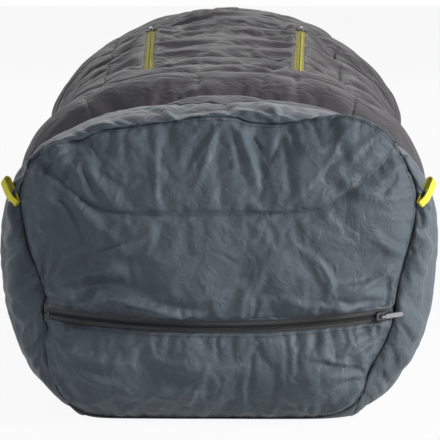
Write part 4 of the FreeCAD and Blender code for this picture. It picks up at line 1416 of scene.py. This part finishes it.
FINISHES = {
    "slate_shell_fabric": nylon("slate_nylon", (0.082, 0.101, 0.118), 0.46, 0.0026, 0.11),
    "charcoal_shell_fabric": nylon("charcoal_nylon", (0.070, 0.066, 0.071), 0.46, 0.0022, 0.06, (1.0, 1.8, 1.0)),
    "liner_fabric": nylon("liner_taffeta", (0.060, 0.066, 0.072), 0.55, 0.0018, 0.35),
    "insulation": nylon("insulation_scrim", (0.6, 0.6, 0.6), 0.9, 0.0010, 0.1),
    "hem_binding": twill("binding_and_thread", (0.020, 0.022, 0.026), 0.0009, 0.00012),
    "dark_zip_tape": twill("dark_tape", (0.030, 0.031, 0.034), 0.0011, 0.00022, 0.62, "Y"),
    "dark_zip_coil": plastic("dark_coil", (0.024, 0.024, 0.026), 0.38),
    "yellow_zip_tape": twill("yellow_tape", (0.52, 0.48, 0.035), 0.0011, 0.00022, 0.7, "Y"),
    "yellow_zip_coil": plastic("yellow_coil", (0.42, 0.39, 0.030), 0.42),
    "slider_metal": metal("dark_slider_metal", (0.11, 0.11, 0.115), 0.38),
    "puller_metal": metal("grey_puller_metal", (0.34, 0.35, 0.36), 0.42),
    "yellow_webbing": twill("yellow_ribbed_webbing", (0.74, 0.68, 0.035), 0.0016, 0.00030, 0.68, "Y"),
    "woven_label": twill("tan_woven_label", (0.42, 0.36, 0.25), 0.0007, 0.00010, 0.8),
}
node_slots = {part["node"]: part["material_slot"] for part in frame["record"]["subparts"]}
for piece in list(bpy.data.objects):
    if piece.type != "MESH":
        continue
    slot_name = piece.get("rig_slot") or node_slots[piece.name]
    piece.data.materials.clear()
    piece.data.materials.append(FINISHES[slot_name])

# ---- Stage -----------------------------------------------------------------------------------------

WHITE = (1, 1, 1, 1)
FLOOR_SHOWN = 0.93  # share of the floor that is plain white; the rest takes light and shadow


def seen_ray(tree):
    """1 where the camera sees the place, or sees it in metal or through something clear."""
    path = new_node(tree.nodes, "LightPath")
    seen = path.outputs["Is Camera Ray"]
    for other in ("Is Glossy Ray", "Is Transmission Ray"):
        either = new_node(tree.nodes, "Math")
        either.operation = "MAXIMUM"
        tree.links.new(seen, either.inputs[0])
        tree.links.new(path.outputs[other], either.inputs[1])
        seen = either.outputs[0]
    return seen


def blended(tree, output, share, first, second):
    """Mixes two shaders by a share, as the tree's output."""
    mix = new_node(tree.nodes, "MixShader")
    for source, target in ((share, 0), (first.outputs[0], 1), (second.outputs[0], 2)):
        tree.links.new(source, mix.inputs[target])
    tree.links.new(mix.outputs[0], new_node(tree.nodes, output).inputs[0])


bpy.ops.mesh.primitive_plane_add(size=30, location=(0, 0, 0))
floor = bpy.context.object
floor.name = "floor"
floor_mat = bpy.data.materials.new("floor_paper")
floor_mat.use_nodes = True
tree = floor_mat.node_tree
tree.nodes.clear()
paper = new_node(tree.nodes, "BsdfDiffuse", Color=(0.82, 0.82, 0.82, 1))
glow = new_node(tree.nodes, "Emission", Color=WHITE)
shown = new_node(tree.nodes, "Math")
shown.operation = "MULTIPLY"
shown.inputs[1].default_value = FLOOR_SHOWN
tree.links.new(seen_ray(tree), shown.inputs[0])
blended(tree, "OutputMaterial", shown.outputs[0], paper, glow)
floor.data.materials.append(floor_mat)

world = bpy.context.scene.world or bpy.data.worlds.new("studio")
bpy.context.scene.world = world
world.use_nodes = True
tree = world.node_tree
tree.nodes.clear()
sky = new_node(tree.nodes, "Background", Color=(0.96, 0.98, 1.0, 1), Strength=0.12)
white = new_node(tree.nodes, "Background", Color=WHITE, Strength=1.0)
blended(tree, "OutputWorld", seen_ray(tree), sky, white)


def lamp(name, place, aim, size, power, tint):
    data = bpy.data.lights.new(name, "AREA")
    data.shape = "RECTANGLE"
    data.size, data.size_y = size
    data.energy = power
    data.color = tint
    made = bpy.data.objects.new(name, data)
    made.location = place
    made.rotation_euler = (Vector(aim) - Vector(place)).to_track_quat("-Z", "Y").to_euler()
    made.visible_camera = False
    bpy.context.scene.collection.objects.link(made)


lamp("key", (2.2, -1.7, 0.95), (0.12, -0.95, 0.16), (0.9, 0.9), 86, (1, 0.99, 0.97))
lamp("back_panel", (0.2, 3.4, 2.6), (0, 0.2, 0.25), (4.5, 2.4), 62, (1, 1, 1))
lamp("fill", (-2.6, -1.9, 1.2), (0, -0.8, 0.15), (1.6, 1.6), 24, (0.93, 0.97, 1))

camera_data = bpy.data.cameras.new("camera")
camera_data.lens = 139.887
camera_data.sensor_width = 36
camera = bpy.data.objects.new("camera", camera_data)
camera.location = (0.0197, -2.6385, 0.478)
camera.rotation_euler = (math.radians(81.306), 0, math.radians(0.594))
bpy.context.scene.collection.objects.link(camera)
bpy.context.scene.camera = camera
bpy.context.scene.view_settings.view_transform = "Standard"
